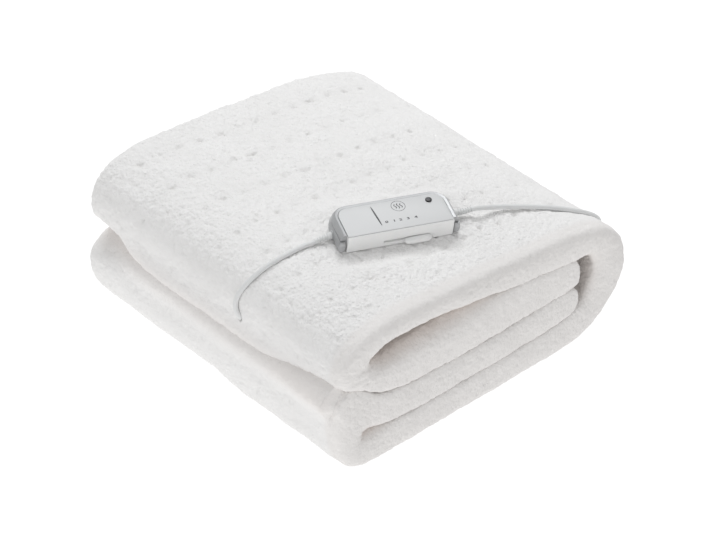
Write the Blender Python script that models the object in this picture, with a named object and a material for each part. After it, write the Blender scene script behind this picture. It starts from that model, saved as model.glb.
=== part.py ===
# Folded electric heated blanket with its hand control, lead and plug.
# Metres, +Z up. The pack of folded cloth stands on Z = 0, centred on the origin.
# -Y shows the two small folds, +Y the one big fold, +X the folded long edge, -X the open edges.

import math
from collections import namedtuple

import bmesh
import bpy
from mathutils import Euler, Matrix, Vector

# ---- blanket ----
WIDTH = 0.410  # the cloth is 0.80 wide and folded once, so the pack is half of that
FOLD_ROUND = 0.015  # how far the folded long edge rounds off
FOLD_FLAT = 0.5  # 1 is a half round, less is flatter
EDGE_ROUND = 0.008  # the same for each open edge
SLIT = 0.0014  # air between the two cloths of one band
SLIT_END = 0.022  # from the slit's end to the folded edge

# rows of tacks along the cloth: place across it, share of the bend that the rows make near -Y
ROWS = [
    (-0.1580, 1.1), (-0.1036, 1.1), (-0.0500, 1.0), (-0.0030, 0.6), (0.0435, 0.5), (0.0900, 0.4), (0.1400, 0.3),
]
ROW_BEND = -0.0135
ROW_BEND_LENGTH = 0.200
ROW_HALF = 0.006  # half the width of the trough along a row
TACK_PITCH = 0.0257  # from tack to tack along a row
TACK_DEPTH = 0.0030
TROUGH_DEPTH = 0.0006
PLAIN_STEP = 0.045  # spacing of the sections where no tacks show

CREASE_LIFT = 0.020  # the line between the small folds climbs towards the +X corner
CREASE_START_X = 0.060
CREASE_CENTRE = (-0.190, 0.094)  # Y, Z
CREASE_REACH = (0.030, 0.036)
CROWN_DROP = 0.007  # the top falls away towards the folded edge
FOOT_REACH = 0.0045  # the foot of the lower small fold reaches further towards the folded edge
GAPE = 0.022  # the small folds stand apart at the open edges
GAPE_X = (-0.205, -0.130)
GAPE_Z = (0.0945, 0.015)  # middle, half height
BED_COLUMNS = (0.058, 0.071, 0.108, 0.121)  # extra places across the top, under the control
BED_MARGIN = (0.008, 0.036)  # from flat to the top's own height, away from the control
BED_GAP = 0.0010
BED_FLOOR = 0.150  # only the top face lies above this

# One rib is the line across a band of doubled cloth, from its outer to its inner face.
Rib = namedtuple("Rib", "outer_y outer_z inner_y inner_z")

LOWER_INNER = [
    Rib(0.1325, 0.0735, 0.1325, 0.0530),
    Rib(0.1285, 0.0765, 0.1285, 0.0480),
    Rib(0.112, 0.0775, 0.112, 0.0450),
    Rib(0.060, 0.0755, 0.060, 0.0415),
    Rib(0.000, 0.0740, 0.000, 0.0405),
    Rib(-0.060, 0.0755, -0.060, 0.0405),
    Rib(-0.110, 0.0775, -0.110, 0.0420),
    Rib(-0.145, 0.0820, -0.143, 0.0435),
]
LOWER_SMALL_FOLD = [
    Rib(-0.1780, 0.0920, -0.1600, 0.0440),
    Rib(-0.1985, 0.0880, -0.1690, 0.0430),
    Rib(-0.2062, 0.0730, -0.1712, 0.0415),
    Rib(-0.2070, 0.0520, -0.1712, 0.0400),
    Rib(-0.2000, 0.0290, -0.1700, 0.0388),
    Rib(-0.1860, 0.0100, -0.1660, 0.0378),
]
BOTTOM_BAND = [
    Rib(-0.163, 0.0000, -0.154, 0.0370),
    Rib(-0.130, 0.0000, -0.130, 0.0368),
    Rib(-0.060, 0.0000, -0.060, 0.0362),
    Rib(0.010, 0.0000, 0.010, 0.0362),
    Rib(0.070, 0.0000, 0.070, 0.0375),
]
BIG_FOLD = [
    Rib(0.1120, 0.0000, 0.1050, 0.0395),
    Rib(0.1450, 0.0045, 0.1260, 0.0430),
    Rib(0.1730, 0.0185, 0.1400, 0.0515),
    Rib(0.1940, 0.0385, 0.1490, 0.0620),
    Rib(0.2055, 0.0620, 0.1550, 0.0740),
    Rib(0.2070, 0.0860, 0.1585, 0.0870),
    Rib(0.1985, 0.1120, 0.1560, 0.1010),
    Rib(0.1760, 0.1330, 0.1470, 0.1105),
    Rib(0.1400, 0.1470, 0.1250, 0.1175),
]
TOP_BAND = [
    Rib(0.095, 0.1580, 0.088, 0.1260),
    Rib(0.035, 0.1660, 0.031, 0.1335),
    Rib(-0.025, 0.1715, -0.027, 0.1410),
    Rib(-0.085, 0.1765, -0.085, 0.1465),
    Rib(-0.128, 0.1785, -0.124, 0.1485),
]
UPPER_SMALL_FOLD = [
    Rib(-0.1600, 0.1750, -0.1450, 0.1465),
    Rib(-0.1840, 0.1640, -0.1570, 0.1415),
    Rib(-0.1975, 0.1460, -0.1615, 0.1360),
    Rib(-0.2008, 0.1260, -0.1610, 0.1310),
    Rib(-0.1985, 0.1055, -0.1570, 0.1280),
    Rib(-0.1865, 0.0955, -0.1500, 0.1250),
]
UPPER_INNER = [
    Rib(-0.166, 0.0925, -0.140, 0.1225),
    Rib(-0.140, 0.0865, -0.125, 0.1235),
    Rib(-0.110, 0.0805, -0.105, 0.1240),
    Rib(-0.060, 0.0785, -0.060, 0.1260),
    Rib(0.000, 0.0770, 0.000, 0.1290),
    Rib(0.060, 0.0785, 0.060, 0.1262),
    Rib(0.105, 0.0805, 0.105, 0.1190),
    Rib(0.1285, 0.0812, 0.1285, 0.1130),
    Rib(0.1325, 0.0850, 0.1325, 0.1080),
]

# Along the cloth, from one short edge to the other. Tacks show where a zone is tacked.
Zone = namedtuple("Zone", "ribs tacked")
ZONES = [
    Zone(LOWER_INNER, False),
    Zone(LOWER_SMALL_FOLD, True),
    Zone(BOTTOM_BAND, False),
    Zone(BIG_FOLD + TOP_BAND + UPPER_SMALL_FOLD, True),
    Zone(UPPER_INNER, False),
]

# ---- hand control, in its own frame: X along it, -Y its front, Z up from its base ----
CONTROL_PLACE = (0.0860, -0.0284, 0.1722)
CONTROL_TURN = (math.radians(8.3), math.radians(3.0), math.radians(68.4))
CONTROL_LENGTH = 0.1340
CONTROL_DEPTH = 0.0520
BACK_RADIUS = 0.0210
FRONT_RADIUS = 0.0020
ARC_STEPS = 8
GAP = 0.0003  # between pieces that touch

BAND_WALL = 0.0084  # the silver bands round the ends and the back
# their sections: inset from the outline, height
LOWER_BAND = [
    (0.0016, 0.0010), (0.0004, 0.0024), (0.0, 0.0058), (0.0005, 0.0108), (0.0016, 0.0132),
    (BAND_WALL, 0.0132), (BAND_WALL, 0.0010),
]
UPPER_BAND = [
    (0.0020, 0.0138), (0.0021, 0.0158), (0.0040, 0.0192), (0.0058, 0.0206),
    (BAND_WALL, 0.0200), (BAND_WALL, 0.0138),
]
BODY_TOP = 0.0180
PANEL_TOP = 0.0206
PANEL_EDGE = 0.0090  # from the outline to the panel's edge
PANEL_FRONT = 0.0014
LAMP_PLACE = (0.0420, 0.0085)
LAMP_RADIUS = 0.0034
LAMP_HEIGHT = 0.0008
LAMP_SIDES = 16

MARK_PITCH = 0.0080  # five settings
TRAVEL = 4 * MARK_PITCH
KNOB_LENGTH = 0.0300
KNOB_HEIGHT = 0.0074
KNOB_SIDES = 24
# columns of the grip: share of its stand, share of its length, share of its height
KNOB_LEVELS = [(0.0, 0.93, 0.84), (0.13, 1.0, 1.0), (0.62, 0.97, 0.94), (0.90, 0.88, 0.72), (1.0, 0.76, 0.45)]
KNOB_STAND = 0.0052
KNOB_DROP = 0.0010  # the grip's middle is this far under the slot
KNOB_NOW = 0.0190  # the knob's middle along the front: it stands at the highest setting
STEM_LENGTH = 0.0090
STEM_HEIGHT = 0.0014
STEM_DEPTH = 0.0042
STEM_ROOT = 0.0015  # how far the stem reaches into the grip
KNOB_GAP = 0.0005
SLOT_LENGTH = TRAVEL + STEM_LENGTH + 2 * KNOB_GAP
SLOT_HEIGHT = 0.0024
SLOT_DEPTH = 0.0050
SLOT_Z = 0.0054

# ---- cords ----
CORD_DIAMETER = 0.0055
CORD_SIDES = 3  # bevel resolution
CORD_STEP = 0.0135  # from point to point along a cord
FINE_STEPS = 20  # between two points of a route, before it is divided evenly
RELIEF_LENGTH = 0.0200
RELIEF_SIDES = 12
# distance from the control, radius
RELIEF_LEVELS = [(0.0, 0.0041), (0.0030, 0.0041), (0.0036, 0.0036), (0.0192, 0.0031), (0.0200, 0.0027)]
CORD_HEIGHT = 0.0052  # of the cord's middle over the control's base
CORD_SIDE = -0.0020  # and from the control's own middle line
STRAIGHT = 0.0045  # a cord leaves its sleeve straight for this far
# the sleeves bend a little: how far each one's tip leans to the back, and how far it drops
Lean = namedtuple("Lean", "side back drop")
LEFT_LEAN = Lean(-1, -0.0045, 0.0010)
RIGHT_LEAN = Lean(1, 0.0015, 0.0)

# from the control's left end, over the upper small fold and into the cloth
BLANKET_LEAD = [
    (0.0585, -0.1225, 0.1811), (0.0592, -0.1305, 0.1815), (0.0594, -0.1395, 0.1812),
    (0.0583, -0.1496, 0.1802), (0.0560, -0.1590, 0.1785), (0.0544, -0.1668, 0.1764),
    (0.0531, -0.1744, 0.1734), (0.0518, -0.1812, 0.1699), (0.0497, -0.1878, 0.1650),
    (0.0463, -0.1938, 0.1588), (0.0431, -0.1989, 0.1510), (0.0415, -0.2021, 0.1435),
    (0.0413, -0.2042, 0.1362), (0.0424, -0.2050, 0.1298), (0.0447, -0.2053, 0.1240),
]
# from the control's right end, over the big fold and down behind it to the coil
MAINS_LEAD = [
    (0.1219, 0.0640, 0.1706), (0.1222, 0.0710, 0.1679), (0.1221, 0.0790, 0.1645),
    (0.1229, 0.0875, 0.1611), (0.1260, 0.0972, 0.1583), (0.1309, 0.1065, 0.1567),
    (0.1366, 0.1160, 0.1550), (0.1422, 0.1255, 0.1531), (0.1474, 0.1350, 0.1511),
    (0.1525, 0.1444, 0.1486), (0.1576, 0.1536, 0.1459), (0.1629, 0.1622, 0.1436),
    (0.1672, 0.1711, 0.1406), (0.1700, 0.1802, 0.1359), (0.1706, 0.1888, 0.1295),
    (0.1690, 0.1968, 0.1210), (0.1655, 0.2036, 0.1108), (0.1603, 0.2084, 0.0990),
    (0.1538, 0.2115, 0.0863), (0.1464, 0.2127, 0.0729), (0.1383, 0.2127, 0.0592),
    (0.1295, 0.2118, 0.0456), (0.1197, 0.2101, 0.0325), (0.1082, 0.2068, 0.0204),
    (0.0948, 0.2018, 0.0105), (0.0800, 0.1955, 0.0046), (0.0645, 0.1895, 0.0031),
    (0.0488, 0.1867, 0.0031),
]
COIL_CENTRE = (0.035, 0.226)
COIL_RADII = (0.0220, 0.0385)  # inner and outer: three turns side by side
COIL_FROM = 0.0003
COIL_TO = 0.0168  # three turns high
COIL_EDGE = 0.0020
COIL_STEPS = 32
# from the plug's sleeve up to the side of the coil
PLUG_LEAD = [(-0.0040, 0.1920, 0.0071), (0.0030, 0.1925, 0.0078), (0.0098, 0.1945, 0.0095)]

PLUG_PLACE = (-0.0720, 0.1975, 0.0)  # the foot of its face
PLUG_TURN = math.radians(-6.0)
# distance behind the face, half width, half height
PLUG_LEVELS = [
    (0.0000, 0.0168, 0.0062), (0.0008, 0.0173, 0.0068), (0.0205, 0.0173, 0.0068),
    (0.0290, 0.0110, 0.0064), (0.0350, 0.0072, 0.0060), (0.0358, 0.0058, 0.0054),
    (0.0380, 0.0052, 0.0050), (0.0600, 0.0033, 0.0033),
]
PLUG_HEIGHT = 0.0068  # of its middle
PLUG_CORNER = 0.0045
PLUG_SIDES = 20
PIN_RADIUS = 0.0020
PIN_TIP_RADIUS = 0.0009
PIN_TIP = 0.0012
PIN_LENGTH = 0.0190
PIN_SPACING = 0.0186
PIN_SIDES = 12
# distance before the face, radius
PIN_LEVELS = [(GAP, PIN_RADIUS), (PIN_LENGTH - PIN_TIP, PIN_RADIUS), (PIN_LENGTH, PIN_TIP_RADIUS)]


def smooth(value, low, high):
    """0 below low, 1 above high, and a soft step between."""
    part = min(1.0, max(0.0, (value - low) / (high - low)))
    return part * part * (3.0 - 2.0 * part)


def make_material(name, colour, roughness, metallic=0.0):
    material = bpy.data.materials.new(name)
    material.use_nodes = True
    shader = material.node_tree.nodes["Principled BSDF"]
    shader.inputs["Base Color"].default_value = (*colour, 1.0)
    shader.inputs["Roughness"].default_value = roughness
    shader.inputs["Metallic"].default_value = metallic
    material.diffuse_color = (*colour, 1.0)
    return material


def add_object(name, mesh, material, parent=None, crease_angle=40.0):
    mesh.materials.append(material)
    mesh.shade_smooth()
    mesh.set_sharp_from_angle(angle=math.radians(crease_angle))
    item = bpy.data.objects.new(name, mesh)
    bpy.context.collection.objects.link(item)
    item.parent = parent
    return item


def skin(name, rings, closed=False):
    """A closed mesh over rings of points: each ring is joined to the next, both ends are filled."""
    shape = bmesh.new()
    loops = [[shape.verts.new(point) for point in ring] for ring in rings]
    count = len(loops[0])
    pairs = list(zip(loops, loops[1:]))
    if closed:
        pairs.append((loops[-1], loops[0]))
    for first, second in pairs:
        for k in range(count):
            after = (k + 1) % count
            shape.faces.new((first[k], first[after], second[after], second[k]))
    if not closed:
        shape.faces.new(list(reversed(loops[0])))
        shape.faces.new(loops[-1])
    bmesh.ops.recalc_face_normals(shape, faces=shape.faces)
    mesh = bpy.data.meshes.new(name)
    shape.to_mesh(mesh)
    shape.free()
    return mesh


# ---------------------------------------------------------------- blanket

def path_lengths(ribs):
    """How far each rib is along the outer face."""
    lengths = [0.0]
    for before, rib in zip(ribs, ribs[1:]):
        step = math.hypot(rib.outer_y - before.outer_y, rib.outer_z - before.outer_z)
        lengths.append(lengths[-1] + step)
    return lengths


def rib_at(ribs, lengths, place):
    """The rib at a place along the outer face, on a smooth curve through the ribs."""
    last = len(ribs) - 1
    k = max(i for i in range(last) if lengths[i] <= place or i == 0)
    span = lengths[k + 1] - lengths[k]
    part = (place - lengths[k]) / span

    def slope(i, column):
        low, high = max(0, i - 1), min(last, i + 1)
        return (ribs[high][column] - ribs[low][column]) / (lengths[high] - lengths[low])

    values = []
    for column in range(4):
        start, end = ribs[k][column], ribs[k + 1][column]
        leave, reach = slope(k, column) * span, slope(k + 1, column) * span
        values.append(
            (2 * part**3 - 3 * part**2 + 1) * start
            + (part**3 - 2 * part**2 + part) * leave
            + (3 * part**2 - 2 * part**3) * end
            + (part**3 - part**2) * reach
        )
    rib = Rib(*values)
    return rib._replace(outer_z=max(0.0, rib.outer_z))


def stations():
    """Ribs along the whole cloth, each with the depth of the rows there."""
    ribs = [rib for zone in ZONES for rib in zone.ribs]
    lengths = path_lengths(ribs)
    result = []
    first = 0
    for zone in ZONES:
        begin = lengths[first]
        end = lengths[min(first + len(zone.ribs), len(ribs) - 1)]
        step = TACK_PITCH / 2 if zone.tacked else PLAIN_STEP
        count = 2 * round((end - begin) / step / 2)
        for k in range(count):
            depth = 0.0
            if zone.tacked:
                depth = TACK_DEPTH if k % 2 else TROUGH_DEPTH
            result.append((rib_at(ribs, lengths, begin + (end - begin) * k / count), depth))
        first += len(zone.ribs)
    # the two short edges are rounded
    result.insert(1, (rib_at(ribs, lengths, lengths[1]), 0.0))
    result.append((rib_at(ribs, lengths, lengths[-2]), 0.0))
    result.append((ribs[-1], 0.0))
    return result


def arc(count):
    return [math.pi * k / count for k in range(count + 1)]


def cross_profile(thick, bend, dent):
    """Places (x, depth under the outer face) round the doubled cloth at one rib."""
    half = WIDTH / 2
    cloth = (thick - SLIT) / 2
    open_x = -half + EDGE_ROUND
    fold_x = half - FOLD_ROUND
    slit_x = half - SLIT_END
    places = [(open_x - EDGE_ROUND * math.sin(a), cloth * (1 + math.cos(a)) / 2) for a in arc(4)]
    top = [(x, 0.0) for x in BED_COLUMNS]
    for place, share in ROWS:
        x = place + share * bend
        top += [(x - ROW_HALF, 0.0), (x, dent), (x + ROW_HALF, 0.0)]
    places += sorted(top)
    for a in arc(6):
        places.append((fold_x + FOLD_ROUND * math.sin(a) ** FOLD_FLAT, thick * (1 - math.cos(a)) / 2))
    places += [(x, thick) for x in (0.14, 0.08, 0.0, -0.1)]
    places += [
        (open_x - EDGE_ROUND * math.sin(a), thick - cloth * (1 - math.cos(a)) / 2) for a in arc(4)
    ]
    places += [(x, thick - cloth) for x in (0.0, 0.08, 0.14, slit_x - 0.004)]
    places += [(slit_x, thick / 2)]
    places += [(x, cloth) for x in (slit_x - 0.004, 0.14, 0.08, 0.0)]
    return places


def control_frame():
    return Matrix.Translation(CONTROL_PLACE) @ Euler(CONTROL_TURN).to_matrix().to_4x4()


def settle(point):
    """The uneven lie of the pack: the climbing line, the falling top and the bed of the control."""
    near = smooth(point.x, CREASE_START_X, WIDTH / 2)
    away_y = (point.y - CREASE_CENTRE[0]) / CREASE_REACH[0]
    away_z = (point.z - CREASE_CENTRE[1]) / CREASE_REACH[1]
    point.z += CREASE_LIFT * near * math.exp(-(away_y**2) - away_z**2)
    edge = smooth(point.x, 0.030, 0.200) * (1.0 - smooth(point.y, 0.060, 0.170))
    point.z -= CROWN_DROP * edge * smooth(point.z, 0.050, 0.165)
    foot = smooth(-point.y, 0.150, 0.185) * (1.0 - smooth(point.z, 0.015, 0.050))
    point.y -= FOOT_REACH * foot * smooth(point.x, -0.020, 0.060)
    gape = GAPE * (1.0 - smooth(point.x, *GAPE_X)) * smooth(-point.y, 0.150, 0.200)
    point.y += gape * math.exp(-(((point.z - GAPE_Z[0]) / GAPE_Z[1]) ** 2))
    if point.z > BED_FLOOR:
        local = control_frame().inverted() @ point
        out_x = max(0.0, abs(local.x) - CONTROL_LENGTH / 2)
        out_y = max(0.0, abs(local.y) - CONTROL_DEPTH / 2)
        weight = 1.0 - smooth(math.hypot(out_x, out_y), *BED_MARGIN)
        point.z -= weight * (local.z + BED_GAP)
    return point


def make_blanket(material):
    rings = []
    for rib, dent in stations():
        outer = Vector((0.0, rib.outer_y, rib.outer_z))
        across = Vector((0.0, rib.inner_y, rib.inner_z)) - outer
        inward = across.normalized()
        bend = ROW_BEND * smooth(-rib.outer_y, 0.0, ROW_BEND_LENGTH)
        ring = []
        for x, depth in cross_profile(across.length, bend, dent):
            ring.append(settle(outer + inward * depth + Vector((x, 0.0, 0.0))))
        rings.append(ring)
    return add_object("blanket", skin("blanket", rings), material, crease_angle=60.0)


# ---------------------------------------------------------------- hand control

def quarter(centre, radius, start_angle):
    points = []
    for k in range(ARC_STEPS + 1):
        angle = math.radians(start_angle) + math.pi / 2 * k / ARC_STEPS
        points.append((centre[0] + radius * math.cos(angle), centre[1] + radius * math.sin(angle)))
    return points


def control_outline(inset, front_inset):
    """The control seen from above, counter-clockwise, drawn in from its outer edge."""
    x = CONTROL_LENGTH / 2 - inset
    back = CONTROL_DEPTH / 2 - inset
    front = -CONTROL_DEPTH / 2 + front_inset
    back_radius = BACK_RADIUS - inset
    front_radius = max(0.0006, FRONT_RADIUS - inset)
    points = quarter((x - front_radius, front + front_radius), front_radius, -90)
    points += quarter((x - back_radius, back - back_radius), back_radius, 0)
    points += quarter((-x + back_radius, back - back_radius), back_radius, 90)
    points += quarter((-x + front_radius, front + front_radius), front_radius, 180)
    return points


def lift_ring(outline, z):
    return [Vector((x, y, z)) for x, y in outline]


def make_body(material, parent):
    """The white middle of the control, with the slot that the knob slides in."""
    inset = BAND_WALL + GAP
    levels = [(0.0010, 0.0), (0.0, 0.0010), (0.0, BODY_TOP - 0.0005), (0.0005, BODY_TOP)]
    rings = [lift_ring(control_outline(inset + less, less), z) for less, z in levels]
    body = add_object("controller_body", skin("controller_body", rings), material, parent)

    cutter_mesh = bpy.data.meshes.new("slot_cutter")
    shape = bmesh.new()
    bmesh.ops.create_cube(shape, size=1.0)
    bmesh.ops.scale(shape, vec=(SLOT_LENGTH, 2 * SLOT_DEPTH, SLOT_HEIGHT), verts=shape.verts)
    shape.to_mesh(cutter_mesh)
    shape.free()
    cutter = bpy.data.objects.new("slot_cutter", cutter_mesh)
    bpy.context.collection.objects.link(cutter)
    cutter.parent = parent
    cutter.location = (KNOB_NOW - TRAVEL / 2, -CONTROL_DEPTH / 2, SLOT_Z)
    cutter.hide_render = True
    cutter.display_type = "WIRE"
    cut = body.modifiers.new("slot", "BOOLEAN")
    cut.operation = "DIFFERENCE"
    cut.solver = "EXACT"
    cut.object = cutter
    return body


def band_path(inset):
    """From the front end of the left side, round the back, to the front end of the right side."""
    x = CONTROL_LENGTH / 2 - inset
    back = CONTROL_DEPTH / 2 - inset
    radius = BACK_RADIUS - inset
    front = -CONTROL_DEPTH / 2 + BAND_WALL / 2
    points = [(-x, front), (-x, 0.0)]
    points += reversed(quarter((-x + radius, back - radius), radius, 90))
    points += [(0.0, back)]
    points += reversed(quarter((x - radius, back - radius), radius, 0))
    points += [(x, 0.0), (x, front)]
    return points


def make_band(name, profile, material, parent):
    """A band round the ends and the back: profile is (inset, height) pairs, a closed loop."""
    paths = [[Vector((x, y, z)) for x, y in band_path(inset)] for inset, z in profile]
    rings = [list(ring) for ring in zip(*paths)]
    return add_object(name, skin(name, rings), material, parent, 35.0)


def make_post(name, side, material, parent):
    """The rounded front end of the lower band: a short column on the front corner."""
    radius = BAND_WALL / 2
    centre = Vector((side * (CONTROL_LENGTH / 2 - radius), -CONTROL_DEPTH / 2 + radius - GAP, 0.0))
    levels = [(radius - inset, z) for inset, z in LOWER_BAND[:-2]]
    rings = []
    for size, z in levels:
        ring = []
        for k in range(ARC_STEPS + 1):
            angle = math.pi + math.pi * k / ARC_STEPS
            ring.append(centre + Vector((size * math.cos(angle), size * math.sin(angle), z)))
        rings.append(ring)
    return add_object(name, skin(name, rings), material, parent, 50.0)


def make_panel(material, parent):
    levels = [(0.0, BODY_TOP + GAP), (0.0, PANEL_TOP - 0.0006), (0.0006, PANEL_TOP)]
    rings = [lift_ring(control_outline(PANEL_EDGE + less, PANEL_FRONT + less), z) for less, z in levels]
    return add_object("controller_panel", skin("controller_panel", rings), material, parent, 50.0)


def make_disc(name, place, radius, low, high, material, parent):
    edge = (high - low) / 2
    rings = []
    for size, z in ((radius, low), (radius, high - edge), (radius - edge, high)):
        ring = []
        for k in range(LAMP_SIDES):
            angle = 2 * math.pi * k / LAMP_SIDES
            ring.append(Vector((place[0] + size * math.cos(angle), place[1] + size * math.sin(angle), z)))
        rings.append(ring)
    return add_object(name, skin(name, rings), material, parent, 50.0)


def make_knob(material, parent):
    """The sliding knob: a cushion-shaped grip outside the front, with a stem in the slot."""
    front = -CONTROL_DEPTH / 2
    face = -KNOB_GAP
    half_length, half_height = KNOB_LENGTH / 2, KNOB_HEIGHT / 2
    rings = []
    for stand_share, length_share, height_share in KNOB_LEVELS:
        out = face - KNOB_STAND * stand_share
        ring = []
        for k in range(KNOB_SIDES):
            angle = 2 * math.pi * k / KNOB_SIDES
            round_x = math.copysign(abs(math.cos(angle)) ** 0.5, math.cos(angle))
            round_z = math.copysign(abs(math.sin(angle)) ** 0.7, math.sin(angle))
            x = half_length * length_share * round_x
            z = half_height * height_share * round_z - KNOB_DROP
            ring.append(Vector((x, out, z)))
        rings.append(ring)
    grip = skin("slider_knob", rings)
    knob = add_object("slider_knob", grip, material, parent, 50.0)
    knob.location = (KNOB_NOW, front, SLOT_Z)

    stem_mesh = bpy.data.meshes.new("knob_stem")
    shape = bmesh.new()
    bmesh.ops.create_cube(shape, size=1.0)
    bmesh.ops.scale(shape, vec=(STEM_LENGTH, STEM_DEPTH, STEM_HEIGHT), verts=shape.verts)
    bmesh.ops.translate(shape, vec=(0.0, STEM_DEPTH / 2 - STEM_ROOT, 0.0), verts=shape.verts)
    shape.to_mesh(stem_mesh)
    shape.free()
    stem = bpy.data.objects.new("knob_stem", stem_mesh)
    bpy.context.collection.objects.link(stem)
    stem.parent = knob
    stem.hide_render = True
    stem.display_type = "WIRE"
    join = knob.modifiers.new("stem", "BOOLEAN")
    join.operation = "UNION"
    join.solver = "EXACT"
    join.object = stem
    return knob


def make_relief(name, lean, material, parent):
    """The tapered sleeve where a cord leaves the control."""
    start = CONTROL_LENGTH / 2 + GAP
    rings = []
    for away, radius in RELIEF_LEVELS:
        part = away / RELIEF_LENGTH
        middle_y = CORD_SIDE + lean.back * part**2
        middle_z = CORD_HEIGHT - lean.drop * smooth(part, 0.0, 1.0)
        slope = 2 * lean.back * part / RELIEF_LENGTH
        across = Vector((-lean.side * slope, 1.0, 0.0)).normalized()
        ring = []
        for k in range(RELIEF_SIDES):
            angle = 2 * math.pi * k / RELIEF_SIDES
            middle = Vector((lean.side * (start + away), middle_y, middle_z + radius * math.sin(angle)))
            ring.append(middle + across * radius * math.cos(angle))
        rings.append(ring)
    return add_object(name, skin(name, rings), material, parent, 50.0)


# ---------------------------------------------------------------- cords, coil and plug

def cord_start(lean):
    """The two points where a cord leaves its sleeve, straight on."""
    away = lean.side * (CONTROL_LENGTH / 2 + RELIEF_LENGTH + 2 * GAP)
    tip = Vector((away, CORD_SIDE + lean.back, CORD_HEIGHT - lean.drop))
    ahead = Vector((lean.side * RELIEF_LENGTH, 2 * lean.back, 0.0)).normalized()
    frame = control_frame()
    return [frame @ tip, frame @ (tip + ahead * STRAIGHT)]


def smooth_route(route):
    """The route's straight first stretch, then evenly spaced points on a smooth curve through the rest."""
    points = [Vector(point) for point in route]
    points.append(2 * points[-1] - points[-2])
    fine = []
    for k in range(1, len(points) - 2):
        before, start, end, after = points[k - 1 : k + 3]
        for step in range(FINE_STEPS):
            t = step / FINE_STEPS
            fine.append(
                0.5 * (2 * start + (end - before) * t
                + (2 * before - 5 * start + 4 * end - after) * t**2
                + (3 * start - before - 3 * end + after) * t**3)
            )
    fine.append(points[-2])
    lengths = [0.0]
    for before, after in zip(fine, fine[1:]):
        lengths.append(lengths[-1] + (after - before).length)
    count = max(2, round(lengths[-1] / CORD_STEP))
    even = [points[0]]
    k = 0
    for step in range(count + 1):
        place = lengths[-1] * step / count
        while k < len(fine) - 2 and lengths[k + 1] < place:
            k += 1
        part = (place - lengths[k]) / (lengths[k + 1] - lengths[k])
        even.append(fine[k].lerp(fine[k + 1], min(1.0, part)))
    return even


def make_cord(name, route, material):
    curve = bpy.data.curves.new(name, "CURVE")
    curve.dimensions = "3D"
    curve.bevel_depth = CORD_DIAMETER / 2
    curve.bevel_resolution = CORD_SIDES
    curve.use_fill_caps = True
    points = smooth_route(route)
    spline = curve.splines.new("POLY")
    spline.points.add(len(points) - 1)
    for place, point in zip(spline.points, points):
        place.co = (*point, 1.0)
    curve.materials.append(material)
    cord = bpy.data.objects.new(name, curve)
    bpy.context.collection.objects.link(cord)
    return cord


def make_coil(material):
    """The outer form of the coiled part of the mains lead: a ring lying on the floor."""
    inner, outer = COIL_RADII
    profile = [
        (inner + COIL_EDGE, COIL_FROM), (outer - COIL_EDGE, COIL_FROM), (outer, COIL_FROM + COIL_EDGE),
        (outer, COIL_TO - COIL_EDGE), (outer - COIL_EDGE, COIL_TO), (inner + COIL_EDGE, COIL_TO),
        (inner, COIL_TO - COIL_EDGE), (inner, COIL_FROM + COIL_EDGE),
    ]
    rings = []
    for k in range(COIL_STEPS):
        angle = 2 * math.pi * k / COIL_STEPS
        along = Vector((math.cos(angle), math.sin(angle), 0.0))
        centre = Vector((*COIL_CENTRE, 0.0))
        rings.append([centre + along * radius + Vector((0.0, 0.0, z)) for radius, z in profile])
    return add_object("cord_coil", skin("cord_coil", rings, closed=True), material)


def make_plug(body_material, pin_material):
    """A flat two-pin plug with its sleeve, lying beside the coil: its face looks to -X."""
    frame = bpy.data.objects.new("plug_frame", None)
    bpy.context.collection.objects.link(frame)
    frame.location = PLUG_PLACE
    frame.rotation_euler = (0.0, 0.0, PLUG_TURN)
    rings = []
    for back, half_width, half_height in PLUG_LEVELS:
        corner = min(PLUG_CORNER, half_height)
        ring = []
        for k in range(PLUG_SIDES):
            angle = 2 * math.pi * (k + 0.5) / PLUG_SIDES
            y = math.copysign(half_width - corner, math.cos(angle)) + corner * math.cos(angle)
            z = math.copysign(half_height - corner, math.sin(angle)) + corner * math.sin(angle)
            ring.append(Vector((back, y, PLUG_HEIGHT + z)))
        rings.append(ring)
    add_object("plug_body", skin("plug_body", rings), body_material, frame, 50.0)
    for name, side in (("plug_pin_left", 1), ("plug_pin_right", -1)):
        rings = []
        for away, radius in PIN_LEVELS:
            ring = []
            for k in range(PIN_SIDES):
                angle = 2 * math.pi * k / PIN_SIDES
                y = side * PIN_SPACING / 2 + radius * math.cos(angle)
                ring.append(Vector((-away, y, PLUG_HEIGHT + radius * math.sin(angle))))
            rings.append(ring)
        add_object(name, skin(name, rings), pin_material, frame, 50.0)


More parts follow.
